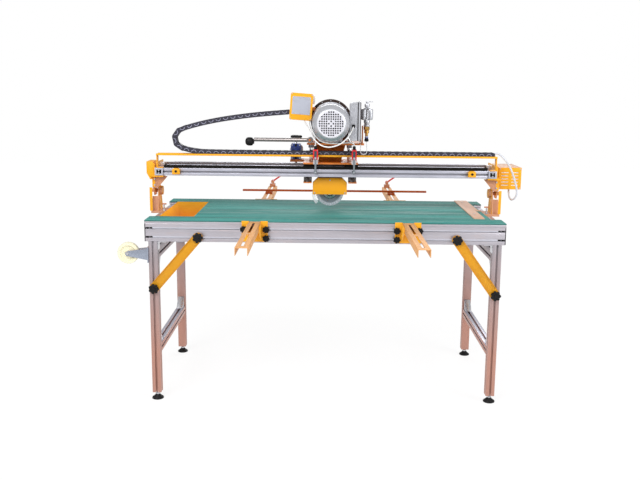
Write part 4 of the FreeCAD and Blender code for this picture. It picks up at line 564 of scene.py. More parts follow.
SUPPLY_HOSE = [(880, -75, 1260), (900, -75, 1265), (922, -75, 1256), (951, -74, 1228), (974, -72, 1196),
               (994, -69, 1155), (1011, -65, 1108), (1022, -62, 1068), (1024, -58, 1042), (1017, -46, 1020),
               (1006, -24, 1008), (1000, 4, 1015), (998, 20, 1037), (997, 23, 1065.4)]


def as_mesh(piece):
    """A curve's shape as a mesh."""
    bpy.context.view_layer.update()
    return bpy.data.meshes.new_from_object(piece.evaluated_get(bpy.context.evaluated_depsgraph_get()))


def switch_lead(name, route, node):
    """A switch's cable, bent between the carriage and the head as the head rises."""
    cable = spline(name, route, 3.5, "white", None)
    mesh = as_mesh(cable)
    cable.data.bevel_depth = 0
    line = [tuple(v.co) for v in as_mesh(cable).vertices]
    bpy.data.objects.remove(cable)
    lead = placed(name, mesh)
    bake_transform(lead)
    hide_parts(node)


def make_cords():
    """The five cords, each along the same points as the frame's own."""
    for name, route, radius, node, body, finish, slot, length in (
            ("motor_lead", MOTOR_CABLE, 3.5, "motor_cable", "head", "white", "white_pvc", 0.4398),
            ("water_feed", WATER_TUBE, 2.5, "water_tube", "head", "pipe", "clear_plastic", 0.3346),
            ("supply_pipe", SUPPLY_HOSE, 5, "supply_hose", "bridge", "hose", "white_pvc", 0.4217)):
        piece = spline(name, route, radius, finish, body)
        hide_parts(node)
    switch_lead("left_switch_lead", LEFT_CABLE, "left_switch_cable")
    switch_lead("right_switch_lead", RIGHT_CABLE, "right_switch_cable")


# --- stage -----------------------------------------------------------------------------------

EYE = (-0.01095, -4.36784, 1.5994)
PITCH, YAW, ROLL = 0.18685, 0.003558, 0.009998


def make_camera():
    """A camera at the eye, turned by yaw and pitch and then rolled about its own axis."""
    _, _, stage = settings()
    level = np.array([math.cos(YAW), math.sin(YAW), 0])
    ahead = np.array([-math.sin(YAW) * math.cos(PITCH), math.cos(YAW) * math.cos(PITCH), -math.sin(PITCH)])
    up = np.cross(level, ahead)
    right = math.cos(ROLL) * level + math.sin(ROLL) * up
    top = math.cos(ROLL) * up - math.sin(ROLL) * level
    data = bpy.data.cameras.new("camera")
    data.lens = stage.lens
    data.sensor_width = 36
    camera = placed("camera", data)
    camera.matrix_world = Matrix((*zip(right, top, -ahead, EYE), (0, 0, 0, 1)))
    bpy.context.scene.camera = camera


def softbox(name, place, height, size, power):
    """A rectangular light aimed at a height above the middle of the floor."""
    data = bpy.data.lights.new(name, "AREA")
    data.shape = "RECTANGLE"
    data.size, data.size_y = size
    data.energy = power
    lamp = placed(name, data)
    lamp.location = place
    lamp.rotation_euler = (Vector((0, 0, height)) - Vector(place)).to_track_quat("-Z", "Y").to_euler()


def greater(tree, *values):
    """The greatest of several values."""
    first, *others = values
    for other in others:
        first = add(tree, "ShaderNodeMath", {0: first, 1: other}, operation="MAXIMUM").outputs[0]
    return first


FLOOR_HALF, FLOOR_TONE, GLOW = 12.0, 0.97, 1.02


def make_stage():
    """A white floor that keeps the cutter's shadow, softboxes and an even surrounding light."""
    _, _, stage = settings()
    mesh = bpy.data.meshes.new("floor")
    rim = [(x * FLOOR_HALF, y * FLOOR_HALF, 0) for x, y in ((-1, -1), (1, -1), (1, 1), (-1, 1))]
    mesh.from_pydata(rim, [], [(0, 1, 2, 3)])
    floor = placed("floor", mesh)
    material = bpy.data.materials.new("floor_paint")
    material.use_nodes = True
    tree, shader, place = shader_of(material)
    shader.inputs["Base Color"].default_value = (FLOOR_TONE, FLOOR_TONE, FLOOR_TONE, 1)
    shader.inputs["Roughness"].default_value = 0.9
    shader.inputs["Specular IOR Level"].default_value = 0.1
    path = add(tree, "ShaderNodeLightPath").outputs
    glow = add(tree, "ShaderNodeEmission", {"Color": (1, 1, 1, 1), "Strength": GLOW})
    seen = greater(tree, path["Is Camera Ray"], path["Is Glossy Ray"], path["Is Transmission Ray"])
    reach = add(tree, "ShaderNodeVectorMath", {0: place}, operation="LENGTH").outputs["Value"]
    share = add(tree, "ShaderNodeMath", {0: seen, 1: spread(tree, reach, 0.80, 1.0, 1.1, 2.6)},
                operation="MULTIPLY")
    blend = add(tree, "ShaderNodeMixShader", {0: share.outputs[0], 1: shader.outputs[0], 2: glow.outputs[0]})
    tree.links.new(blend.outputs[0], tree.nodes["Material Output"].inputs["Surface"])
    mesh.materials.append(material)
    softbox("key_light", (-1.6, -3.2, 3.4), 0.9, (3.0, 2.0), stage.key_power)
    softbox("fill_light", (3.2, -2.2, 2.2), 0.9, (2.2, 2.2), stage.fill_power)
    softbox("back_light", (0.5, 3.4, 3.0), 1.0, (3.0, 1.6), stage.fill_power)
    world = bpy.data.worlds.new("studio")
    bpy.context.scene.world = world
    world.use_nodes = True
    tree = world.node_tree
    path = add(tree, "ShaderNodeLightPath").outputs
    seen = greater(tree, path["Is Camera Ray"], path["Is Transmission Ray"])
    level = add(tree, "ShaderNodeMix", {"Factor": seen, 2: stage.world_level, 3: 1.0}, data_type="FLOAT")
    background = tree.nodes["Background"]
    background.inputs["Color"].default_value = (1, 1, 1, 1)
    tree.links.new(level.outputs[0], background.inputs["Strength"])
    bpy.context.scene.view_settings.view_transform = "Standard"


# --- copies of the frame's own solids ----------------------------------------------------------


def body_of(node):
    return frame["nodes"][node]["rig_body"]


def copied(node):
    """A node's mesh with its doubles merged and its flat faces joined, and its solids as lists of faces."""
    work = bmesh.new()
    work.from_mesh(frame["nodes"][node].data)
    bmesh.ops.remove_doubles(work, verts=work.verts, dist=1e-5)
    bmesh.ops.dissolve_limit(work, angle_limit=math.radians(0.6), verts=work.verts, edges=work.edges)
    seen, solids = set(), []
    for face in work.faces:
        if face in seen:
            continue
        seen.add(face)
        solid, ahead = [], [face]
        while ahead:
            at = ahead.pop()
            solid.append(at)
            for edge in at.edges:
                for near in edge.link_faces:
                    if near not in seen:
                        seen.add(near)
                        ahead.append(near)
        solids.append(solid)
    return work, solids


def extent(faces):
    """The lowest and highest corner of some faces in millimetres."""
    points = np.array([v.co for f in faces for v in f.verts]) / MM
    return points.min(0), points.max(0)


def eased(node, finish, rules=(), bevel=0.8, drop=None):
    """A copy of a node with its edges eased.

    Each rule is a finish and a test of a face's centre and normal; the last rule that fits counts. Solids
    that fit drop are left out, and their corners are returned.
    """
    work, solids = copied(node)
    lost, whole, sheet = [], bmesh.new(), bpy.data.meshes.new(node + "_solid")
    for solid in solids:
        if drop and drop(*extent(solid)):
            lost.append(extent(solid))
            continue
        part = bmesh.new()
        own = {v: part.verts.new(v.co) for v in {v for f in solid for v in f.verts}}
        for face in solid:
            copy = part.faces.new([own[v] for v in face.verts])
            centre, normal = np.array(face.calc_center_median()) / MM, np.array(face.normal)
            for place, (_, test) in enumerate(rules):
                if test(centre, normal):
                    copy.material_index = place + 1
        part.normal_update()
        edges = [e for e in part.edges if len(e.link_faces) == 2 and e.calc_face_angle(0) > SHARP]
        if edges and bevel:
            bmesh.ops.bevel(part, geom=edges, offset=bevel * MM, offset_type="OFFSET", segments=2,
                            profile=0.5, affect="EDGES", clamp_overlap=True)
        part.to_mesh(sheet)
        part.free()
        whole.from_mesh(sheet)
    work.free()
    if not len(whole.faces):
        whole.free()
        return lost
    mesh = bpy.data.meshes.new(node + "_eased")
    whole.to_mesh(mesh)
    whole.free()
    mesh.shade_smooth()
    mesh.set_sharp_from_angle(angle=math.radians(40))
    for name in (finish, *(name for name, _ in rules)):
        mesh.materials.append(LIBRARY[name])
    piece = placed(node + "_eased", mesh, body_of(node))
    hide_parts(node)
    return lost


# --- shared parts ------------------------------------------------------------------------------


def inside(points, loop):
    """Which points lie inside a closed outline."""
    x, y = points[:, :1], points[:, 1:]
    ax, ay = loop[:, 0], loop[:, 1]
    bx, by = np.roll(ax, -1), np.roll(ay, -1)
    rise = np.where(by == ay, 1e-12, by - ay)
    crossed = ((ay > y) != (by > y)) & (x < (bx - ax) * (y - ay) / rise + ax)
    return crossed.sum(1) % 2 == 1


def perforated(outline, holes, low, high, axis="y"):
    """A flat plate with holes through it, from low to high along an axis."""
    loops = [np.asarray(loop, float) for loop in (outline, *holes)]
    starts = np.cumsum([0] + [len(loop) for loop in loops])
    edges = [(int(starts[k] + i), int(starts[k] + (i + 1) % len(loop)))
             for k, loop in enumerate(loops) for i in range(len(loop))]
    flat, _, triangles, *_ = delaunay_2d_cdt([Vector(p) for p in np.vstack(loops)], edges, [], 1, 1e-5)
    flat = np.array([tuple(p) for p in flat])
    triangles = np.array(triangles)
    middle = flat[triangles].mean(1)
    keep = inside(middle, loops[0])
    for loop in loops[1:]:
        keep &= ~inside(middle, loop)
    triangles = triangles[keep].tolist()
    sides = {(t[i], t[(i + 1) % 3]) for t in triangles for i in range(3)}
    count = len(flat)
    walls = [[a, b, b + count, a + count] for a, b in sides if (b, a) not in sides]
    faces = [t[::-1] for t in triangles] + [[i + count for i in t] for t in triangles] + walls
    points = np.vstack([np.column_stack([flat, np.full(count, h)]) for h in (low, high)])
    return points[:, ORDER[axis]], faces


STAR = ((0.80, 0, 0.14), (0.94, 0.1, 0.2), (0.98, 0.3, 0.22), (1, 0.6, 0.22), (0.97, 0.8, 0.2),
        (0.88, 0.93, 0.16), (0.74, 1, 0.1), (0.56, 0.97, 0.02), (0.42, 0.9, 0), (0.38, 0.9, 0),
        (0.36, 1.04, 0), (0.28, 1.08, 0))


def star(radius, height, lobes):
    """A star knob's head, standing on Z = 0: scalloped round its rim and dished round a hub."""
    angle = np.arange(12 * lobes) * TURN / (12 * lobes)
    wave = 0.5 + 0.5 * np.cos(lobes * angle)
    rings = []
    for scale, level, depth in STAR:
        rim = arc(radius * scale * (1 - depth * (1 - wave ** 0.6)), (0, 0), angle)
        rings.append(np.column_stack([rim, np.full(len(angle), level * height)]))
    return skin(rings)


def hex_bolt(radius, height):
    """A hexagon head with a rounded crown."""
    return lathe([(radius, 0), (radius, 0.75 * height), (0.86 * radius, height)], 6)


def socket_screw(radius, height):
    """A round head with a sunk hexagon's depth."""
    return lathe([(radius, 0), (radius, 0.8 * height), (0.9 * radius, height), (0.52 * radius, height),
                  (0.5 * radius, 0.45 * height)], 20)


def scattered(shape, axis, places):
    """A shape aimed along an axis at each of several places."""
    return merged(*(aimed(shape, axis, place) for place in places))


def fasten(name, head, places, body, finish="zinc", axis="-y", bevel=0.0):
    """One bolt's or screw's head at each of several places, as a piece."""
    put(name, scattered(head, axis, places), finish, body, bevel=bevel)


def threaded(radius, low, high, pitch=2.0):
    """A stud's profile with a thread."""
    heights = np.arange(low, high, pitch / 2)
    return [(radius - 0.5 * (i % 2), h) for i, h in enumerate(heights)]


# --- the table ---------------------------------------------------------------------------------

BEAM_SLOTS = (858, 904)
POST_X, POST_Y = (-868, 868), [-48]
KNOB_HEIGHT = 16


def make_pads():
    """The planks' rubber: ribs along X with grooves between them."""
    _, detail, _ = settings()
    work, solids = copied("rubber_pads")
    boxes = [extent(solid) for solid in solids]
    work.free()
    depth, pitch = detail.rib_depth / MM, detail.rib_pitch / MM
    rib = ((0.16, depth), (0.24, 0.25), (0.31, 0), (0.88, 0), (0.94, 0.25))
    pads = []
    for (x_low, y_low, z_low), (x_high, y_high, top) in boxes:
        count = max(2, round((y_high - y_low) / pitch))
        step = (y_high - y_low) / count
        outline = [(y_low, z_low)]
        for y in y_low + np.arange(count) * step:
            outline.append((y + 0.001, top - depth))
            outline += [(y + share * step, top - sink) for share, sink in rib]
        outline += [(y_high, top - depth), (y_high, z_low)]
        pads.append(swept(outline, x_low, x_high, "x"))
    put("ribbed_pads", merged(*pads), "rubber", "table", replaces="rubber_pads",
        smooth=25)


def make_table():
    """The beams with their black end caps, the planks, the well, the arms and the posts."""
    half = corners("long_beams")[1][0]
    eased("long_beams", "aluminium_x", (
        ("groove", lambda c, n: 377 < abs(c[1]) < 399.4 and abs(c[0]) < half - 6),
        ("seal", lambda c, n: abs(c[0]) > half - 4.8)))
    eased("cross_beams", "aluminium_y")
    eased("table_planks", "aluminium_x", bevel=0.5)
    eased("water_well", "well", bevel=0.6)
    eased("channel_arms", "beige", bevel=0.7)
    eased("arm_brackets", "yellow", bevel=0.9)
    eased("side_fence", "peach", (("zinc", lambda c, n: c[2] > 946),), bevel=0.6)
    eased("rear_fence", "bar", bevel=0.8)
    # painted shade on the posts' front faces and on their low faces looking up
    eased("pivot_posts", "yellow", (("shaded", lambda c, n: n[1] < -0.6 or n[2] > 0.6 and c[2] < 940),))
    # plain yellow strips along the outer edges of the posts' and cheeks' fronts, where the painted shade
    # stops
    put("post_edges", twin((941.5, -60.4, 935.5), (927, -59.6, 1062)), "yellow", "table", bevel=0.3)
    put("cheek_edges", twin((925.4, -61, 1066), (911, -60.2, 1124)), "yellow", "bridge", bevel=0.3)
    stud = merged(hex_bolt(9, 6), lathe([(4, 5), (4, 38), (3, 39)], 16))
    fasten("post_screws", stud, product(POST_X, POST_Y, [935]), "table", axis="z", bevel=0.4)
    bar = lathe([(3.2, -13), (4, -11), (4, 11), (3.2, 13)], 16)
    fasten("post_tommy_bars", bar, product(POST_X, POST_Y, [972]), "table", "rust", "x")
    fills = [slab((-860, side * 399.75, z - 5.6), (860, side * 397.5, z + 5.6))
             for side, z in product(SIDES, BEAM_SLOTS)]
    put("slot_fills", merged(*fills), "groove", "table", bevel=0.5)
    plugs = [slab((x - 5, -399.6, z - 4.6), (x + 5, -393, z + 4.6))
             for x, z in product((-884, -866, 866, 884), BEAM_SLOTS)]
    put("slot_plugs", merged(*plugs), "seal", "table", bevel=0.5)


def knob_like(low, high):
    """Whether a solid has the size of a star knob facing along Y."""
    size = high - low
    return 30 < size[0] < 60 and abs(size[0] - size[2]) < 3 and size[1] < 40


def make_knobs():
    """Black star knobs in place of the frame's, each on a steel washer."""
    _, detail, _ = settings()
    clamp = (("rust", lambda c, n: c[1] > 1000),)
    for node in ("bracket_knobs", "table_fittings", "left_leg_fittings", "right_leg_fittings", "left_brace",
                 "right_brace"):
        finish = "amber" if "brace" in node else "zinc"
        heads = []
        for low, high in eased(node, finish, clamp if node == "table_fittings" else (), 0.8, knob_like):
            x, _, z = (low + high) / 2
            knob = star((high[0] - low[0]) / 2, KNOB_HEIGHT, detail.lobes)
            axis, y = ("-y", low[1] + KNOB_HEIGHT) if low[1] < 0 else ("y", high[1] - KNOB_HEIGHT)
            heads.append(aimed(knob, axis, (x, y, z)))
        if heads:
            put(node + "_knobs", merged(*heads), "black", body_of(node), slot="black_plastic")


def mirrored(profile):
    """A closed profile from its upper half."""
    return [(r, -h) for r, h in profile] + profile[::-1]


def make_legs():
    """The leg frames, the levelling feet and the casters."""
    for name in ("left_leg_frame", "right_leg_frame"):
        eased(name, "leg", (("rail", lambda c, n: n[2] > 0.5 and c[2] < 600),))
    for node in ("left_front_foot", "left_rear_foot", "right_front_foot", "right_rear_foot"):
        low, high = corners(node)
        x, y, _ = (low + high) / 2
        radius, top = (high[0] - low[0]) / 2, high[2]
        foot = lathe([(radius - 2, 0), (radius, 1.5), (radius, 5), (radius - 2, 8), (0.62 * radius, 15),
                      (0.42 * radius, 21), (0.40 * radius, 24), (6, 24)])
        put(node + "_pad", aimed(foot, "z", (x, y, 0)), "black", node, replaces=node)
        stud = merged(lathe([(11, 24), (11, 31), (9.5, 32), (6, 32)], 6),
                      lathe(threaded(6, 31, top) + [(5, top)], 24),
                      lathe([(10, top - 24), (10, top - 17), (6, top - 16)], 6))
        put(node + "_stud", aimed(stud, "z", (x, y, 0)), "zinc", node)
    eased("caster_forks", "fork", (("rust", lambda c, n: n[2] > 0.3),), 0.6)
    for node in ("front_caster_wheel", "rear_caster_wheel"):
        low, high = corners(node)
        centre = (low + high) / 2
        radius, half, _ = (high - low) / 2
        tyre = turned_ring(mirrored([(radius - 14, half), (radius - 3, half), (radius, half - 4)]))
        put(node + "_tyre", aimed(tyre, "y", centre), "cream", node, replaces=node)
        web = [(6.1, half), (15, half), (16, half - 3), (18, half - 7), (radius - 18, half - 6),
               (radius - 15, half - 1), (radius - 13.5, half - 1)]
        hub = turned_ring(mirrored(web))
        put(node + "_hub", aimed(hub, "y", centre), "cream", node)
        nuts = merged(aimed(hex_bolt(8, 6), "-y", centre - (0, half + 9, 0)),
                      aimed(hex_bolt(8, 6), "y", centre + (0, half + 9, 0)))
        put(node + "_axle_nuts", nuts, "zinc", "left_legs")


def make_clamps():
    """The tile clamps' red levers and their hubs."""
    for node, x in (("left_clamp_lever", -350), ("right_clamp_lever", 412)):
        eased(node, "grip", bevel=1.2)
        hub = lathe([(6, -8.5), (10, -8), (11, -5), (11, 5), (10, 8), (6, 8.5)], 32)
        put(node + "_hub", aimed(hub, "y", (x, 1025, 976)), "grip", node)


# --- the bridge --------------------------------------------------------------------------------

RAIL_TOP, RAIL_SLOT = 1170, 1150


def make_bridge():
    """The rails with their dark strips, the ends, the stops, the tray and the end covers."""

    def on_bar(c):
        return RAIL_TOP < c[2] and -28.5 < c[1] < -11

    def in_slot(c, half):
        return abs(c[2] - RAIL_SLOT) < half

    eased("rail_beams", "rail", (
        ("seal", lambda c, n: c[2] > RAIL_TOP and c[1] < -80),
        ("groove", lambda c, n: -89.6 < c[1] < -72 and abs(c[0]) < 904 and in_slot(c, 12)),
        ("seal", lambda c, n: abs(c[0]) > 860 and -95.5 < c[1] < -90 and in_slot(c, 13)),
        ("slab", lambda c, n: on_bar(c)),
        ("seal", lambda c, n: on_bar(c) and (n[2] > 0.6 or c[2] > 1191))), 0.7)
    eased("bridge_ends", "yellow", (
        # painted shade on the front faces of the bridge's ends
        ("shaded", lambda c, n: n[1] < -0.6 and c[2] < 1132),
        ("black", lambda c, n: 884 < c[0] < 920 and -49 < c[1] < -27 and c[2] < 1122
            or 840 < c[0] < 872 and c[2] < 1066),
        ("zinc", lambda c, n: c[2] > 1171 and abs(c[0]) < 900)), 0.9)
    # a dark band along the top of the front rail
    put("rail_dark_band", slab((-856, -90.3, 1170.2), (856, -88, 1187)), "seal", "bridge", bevel=0.6)
    eased("travel_stops", "yellow", bevel=1.0)
    eased("drive_belt", "belt", bevel=0.4)
    eased("cable_tray", "yellow", bevel=0.6)
    # the right end box's top in peach: painted reflection on its yellow paint
    eased("end_covers", "yellow", (("peach", lambda c, n: c[0] > 928 and n[2] > 0.6 and c[2] > 1182),), 0.9)
    put("louvre_backing", slab((936, -16.9, 1072), (1046, -16.1, 1177)), "white", "bridge")
    fasten("end_block_bolts", socket_screw(4.4, 4), product((-882, 882), [-96], (1143, 1157)), "bridge")
    fasten("stop_bolts", hex_bolt(7, 4), product((-790, 772), [-108.4], [1154]), "bridge", "black")
    fasten("cheek_screws", socket_screw(5, 4), product((-912, 912), [-60.2], (1076, 1108)), "bridge")
    fasten("box_screws", socket_screw(3.2, 2), product((937, 1045), [-20.2], (1073, 1176)), "bridge")


def eased_line(points, rounds=3):
    """A line of points with its corners cut again and again until it is smooth."""
    line = np.asarray(points, float)
    for _ in range(rounds):
        inner = np.empty((2 * (len(line) - 1), 3))
        inner[0::2] = 0.75 * line[:-1] + 0.25 * line[1:]
        inner[1::2] = 0.25 * line[:-1] + 0.75 * line[1:]
        line = np.vstack([line[:1], inner, line[-1:]])
    return line


CHAIN = [(x, -75, z) for x, z in (
    (878, 1256.5), (-560, 1256.5), (-700, 1260.5), (-792, 1290.5), (-790, 1360.5), (-700, 1392.5),
    (-560, 1424.5), (-380, 1450.5), (-197, 1466.5))]
LINK_HEIGHT, LINK_SINK, LINK_WALL = 25.0, 2.0, 3


def make_chain():
    """The cable chain's links; each moves by its share of the carriage's travel."""
    _, detail, _ = settings()
    line = eased_line(CHAIN)
    reach = np.concatenate([[0], np.cumsum(np.linalg.norm(np.diff(line, axis=0), axis=1))])
    total = reach[-1]
    count = round(total / (detail.link_pitch / MM))
    pitch = total / count
    low, high = corners("drag_chain")
    half, tall = (high[1] - low[1]) / 2, LINK_HEIGHT / 2
    # pale bows across each link: painted highlights on the link edges
    bow = -np.radians(np.linspace(12, 168, 9))
    arch = np.vstack([arc(14, (0, 8), bow), arc(11, (0, 8), bow[::-1])])
    stadium = arc(tall, (pitch / 2, 0), np.linspace(-TURN / 4, TURN / 4, 7))
    stadium = np.vstack([stadium, -stadium])

    def spot(s):
        return np.array([np.interp(s, reach, line[:, i]) for i in range(3)])

    groups = ([], []), ([], [])
    for k in range(count):
        s = (k + 0.5) * pitch
        run = spot(s + pitch / 2) - spot(s - pitch / 2)
        u = run / np.linalg.norm(run)
        w = np.array([-u[2], 0, u[0]])
        edge, boss, crown = (half - 3.2, 0.4, 0.6) if k % 2 else (half, 1.2, 1.6)
        pin = lathe([(7.5, 0), (7.5, boss), (6, crown)], 12)
        link = []
        for side, axis in zip(SIDES, ("-z", "z")):
            link += [swept(stadium, side * edge, side * (edge - LINK_WALL)),
                     aimed(pin, axis, (-pitch / 2, 0, side * (edge - 0.2))),
                     slab((-8, side * (tall - LINK_WALL), 1 - edge), (8, side * tall, edge - 1))]
        for (shapes, shares), (points, faces) in zip(
                groups, (merged(*link), swept(arch, -half - 0.5, 0.5 - edge))):
            shapes.append((spot(s) + LINK_SINK * w + points @ [u, w, (0, 1, 0)], faces))
            shares += [s / total] * len(points)
    for name, (shapes, shares), finish, node in (("cable_chain", groups[0], "chain", "drag_chain"),
                                                 ("chain_highlight_bows", groups[1], "arc", None)):
        piece = put(name, merged(*shapes), finish, None, replaces=node)
        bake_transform(piece)


# --- the carriage ------------------------------------------------------------------------------

HEAD_X = 24
GEAR_LEFT, GEAR_RIGHT, GEAR_FRONT, GEAR_REAR, GEAR_LOW, GEAR_HIGH = -187, -134, -25, 52, 1216, 1300
GEAR_X, GEAR_Z = (GEAR_LEFT + GEAR_RIGHT) / 2, (GEAR_LOW + GEAR_HIGH) / 2


def on_roller(c):
    """Whether a point lies within one of the two rollers under the carriage."""
    return (1103 < c[2] < 1131 and abs(c[1] + 50) < 13
            and math.hypot(abs(c[0] - HEAD_X) - 120, c[2] - 1116.6) < 13.6)


def make_carriage():
    """The carriage's plate, bearings, rollers, gearbox and handwheel."""
    eased("carriage_plate", "orange", (("zinc", lambda c, n: c[1] < -100.5 and c[2] > 1207),), 0.9)
    eased("carriage_guides", "black", (("chrome", lambda c, n: c[2] > 1206),), 0.8)
    eased("roller_hangers", "lever", (
        ("brown", lambda c, n: on_roller(c)),
        ("orange", lambda c, n: c[2] < 1100.5)), 0.6)
    width, height = GEAR_RIGHT - GEAR_LEFT, GEAR_HIGH - GEAR_LOW
    flange = lathe([(27, 0), (27, 4), (24, 7), (24, 11), (21, 12), (21, 10), (12, 10), (12, 12.5),
                    (9, 13)], 40)
    body = [swept(rounded(width, height, 9, centre=(GEAR_X, GEAR_Z)), GEAR_FRONT, GEAR_REAR, "y"),
            aimed(flange, "-y", (GEAR_X, GEAR_FRONT + 1, GEAR_Z))]
    for z in (GEAR_LOW + 12, GEAR_HIGH - 12):
        body.append(swept(rounded(width + 4, 5, 2, centre=(GEAR_X, z)), GEAR_FRONT + 6, GEAR_REAR - 6, "y"))
    put("gear_case", merged(*body), "blue", "carriage", bevel=2.0, replaces="feed_gearbox")
    fins = [(35 - 3 * (i % 2), 14 + 3 * i) for i in range(1, 30)]
    motor = lathe([(33, 0), (35, 3), (35, 8), (32, 10), (32, 14), *fins, (34, 104), (34, 126), (28, 130)], 40)
    put("gear_motor", aimed(motor, "y", (GEAR_X, GEAR_REAR, GEAR_Z)), "silver", "carriage")
    ring = turned_ring([(20.6, 0), (24.6, 0), (24.6, 3), (20.6, 3)], 40)
    band = slab((GEAR_X - 6, GEAR_FRONT - 1.2, GEAR_LOW + 2), (GEAR_X + 6, GEAR_FRONT + 2, GEAR_HIGH - 2))
    put("gear_band", merged(aimed(ring, "-y", (GEAR_X, GEAR_FRONT - 5, GEAR_Z)), band), "black", "carriage",
        bevel=0.6)
    bolts = product((GEAR_X - 20, GEAR_X + 20), [GEAR_FRONT], (GEAR_Z - 34, GEAR_Z + 34))
    fasten("gear_bolts", hex_bolt(4, 3.5), bolts, "carriage")
    eased("feed_shaft", "steel", (("black", lambda c, n: c[2] > 1326),), 0.8, lambda low, high: low[2] > 1326)
    put("handwheel", aimed(star(33, 15, 5), "z", (GEAR_X, 12.4, 1328)), "black", "feed_shaft")


SWITCHES = {"left_switch_lever": -54, "right_switch_lever": 148}


def make_switches():
    """The limit switches' red cases with dark windows, black glands and steel levers."""
    gland = merged(lathe([(9, 1278), (9, 1283), (7.4, 1284), (7.4, 1286)], 6),
                   lathe([(8, 1285), (8.2, 1287), (8.2, 1292), (6, 1296)], 24))
    cases, windows, glands, screws = [], [], [], []
    for x in SWITCHES.values():
        case = rounded(26, 54, 4, centre=(x, 1251))
        cases += [swept(case, -131, -110, "y"),
                  perforated(case, [rounded(14, 30, 3, centre=(x, 1255))], -133, -131)]
        windows += [swept(rounded(13.6, 29.6, 3, centre=(x, 1255)), -131.9, -130.5, "y"),
                    swept(rounded(6, 8, 1, centre=(x, 1249)), -132.3, -131, "y")]
        glands.append(aimed(gland, "z", (x, -121, 0)))
        screws += product((x - 9.5, x + 9.5), [-133], (1274, 1229.5))
    put("switch_cases", merged(*cases), "red", "carriage", bevel=0.8, replaces="limit_switches")
    put("switch_windows", merged(*windows), "slate", "carriage", bevel=0.4)
    put("switch_glands", merged(*glands), "black", "carriage")
    fasten("switch_screws", socket_screw(1.9, 1.2), screws, "carriage")
    for node, x in SWITCHES.items():
        eased(node, "core", (("black", lambda c, n: c[2] < 1168),), 0.6)
        nuts = merged(aimed(hex_bolt(6, 4), "-y", (x, -136, 1233)),
                      aimed(hex_bolt(4, 3), "-y", (x, -136, 1159)))
        put(node + "_nuts", nuts, "zinc", node)


# --- the saw head ------------------------------------------------------------------------------

MOTOR = MOTOR_X, MOTOR_Z = HEAD_X, 1420
ARBOR = HEAD_X, 1040
BLADE_RADIUS = 75.0


def on_motor(shape, y, axis="-y"):
    """A shape aimed along the motor's axis."""
    return aimed(shape, axis, (MOTOR_X, y, MOTOR_Z))


def at_depth(flat, y):
    """Places at one depth, from pairs of x and z."""
    return [(x, y, z) for x, z in flat]


def band(inner, outer, angles):
    """A flat curved strip's outline round the blade's arbor."""
    return np.vstack([arc(outer, ARBOR, angles), arc(inner, ARBOR, angles[::-1])])


def make_motor():
    """The finned motor, its flange, its feet and the terminal box on its side."""
    flank = ((-0.022, 81), (-0.016, 89), (0.016, 89), (0.022, 81))
    fins = np.stack([circle(r, MOTOR, 44, offset) for offset, r in flank], 1).reshape(-1, 2)
    body = [swept(fins, -246, -26, "y"),
            on_motor(lathe([(90, 0), (90, 8), (86, 9)]), -246),
            on_motor(lathe([(88, 0), (92, 4), (101, 5), (101, 17), (60, 18)], 64), -26, "y"),
            slab((-38, -96, 1310), (-14, -34, 1346)), slab((62, -96, 1310), (86, -34, 1346)),
            slab((-38, -96, 1310), (86, -34, 1318))]
    put("motor_case", merged(*body), "silver", "head", bevel=0.8, replaces="motor_body")
    fasten("flange_bolts", hex_bolt(5, 4), at_depth(circle(94, MOTOR, 8, TURN / 16), -21), "head")
    box = [swept(rounded(44, 197, 15, centre=(143, 1426.5)), -211, -109, "y"),
           swept(rounded(13, 201, 4, centre=(169.5, 1426.5)), -215, -105, "y"),
           slab((101, -190, 1392), (124, -130, 1448))]
    box += [slab((x, -213, 1338), (x + 2, -210, 1515)) for x in (129, 137, 145, 153)]
    put("terminal_box", merged(*box), "silver", "head", bevel=1.6)
    put("terminal_seal", swept(rounded(5, 193, 2, centre=(161.5, 1426.5)), -212, -108, "y"), "black", "head")
    # a dark strip over the cover's right edge, painted shade on its side, and a thin dark line beside the
    # seam
    edge = merged(slab((172.5, -216, 1330), (176.4, -104, 1523)),
                  slab((163.4, -215.6, 1329), (164.6, -214, 1524)))
    put("terminal_edge_shade", edge, "brown", "head", bevel=0.6)
    bolts = merged(scattered(socket_screw(4.2, 5), "z", product([169.5], (-206, -114), [1526.8])),
                   scattered(socket_screw(3.4, 2.5), "-y", product([169.5], [-214.8], (1334, 1519))))
    put("terminal_bolts", bolts, "chrome", "head")
    gland = lathe([(9, 0), (9, 5), (7, 6), (7, 13), (4.4, 15)], 20)
    put("terminal_gland", aimed(gland, "-y", (139, -210, 1404)), "black", "head")


COVER_Y = -255
HOLE_ROWS = (1, 3, 4, 4, 5, 5, 5, 4, 4, 3, 1)


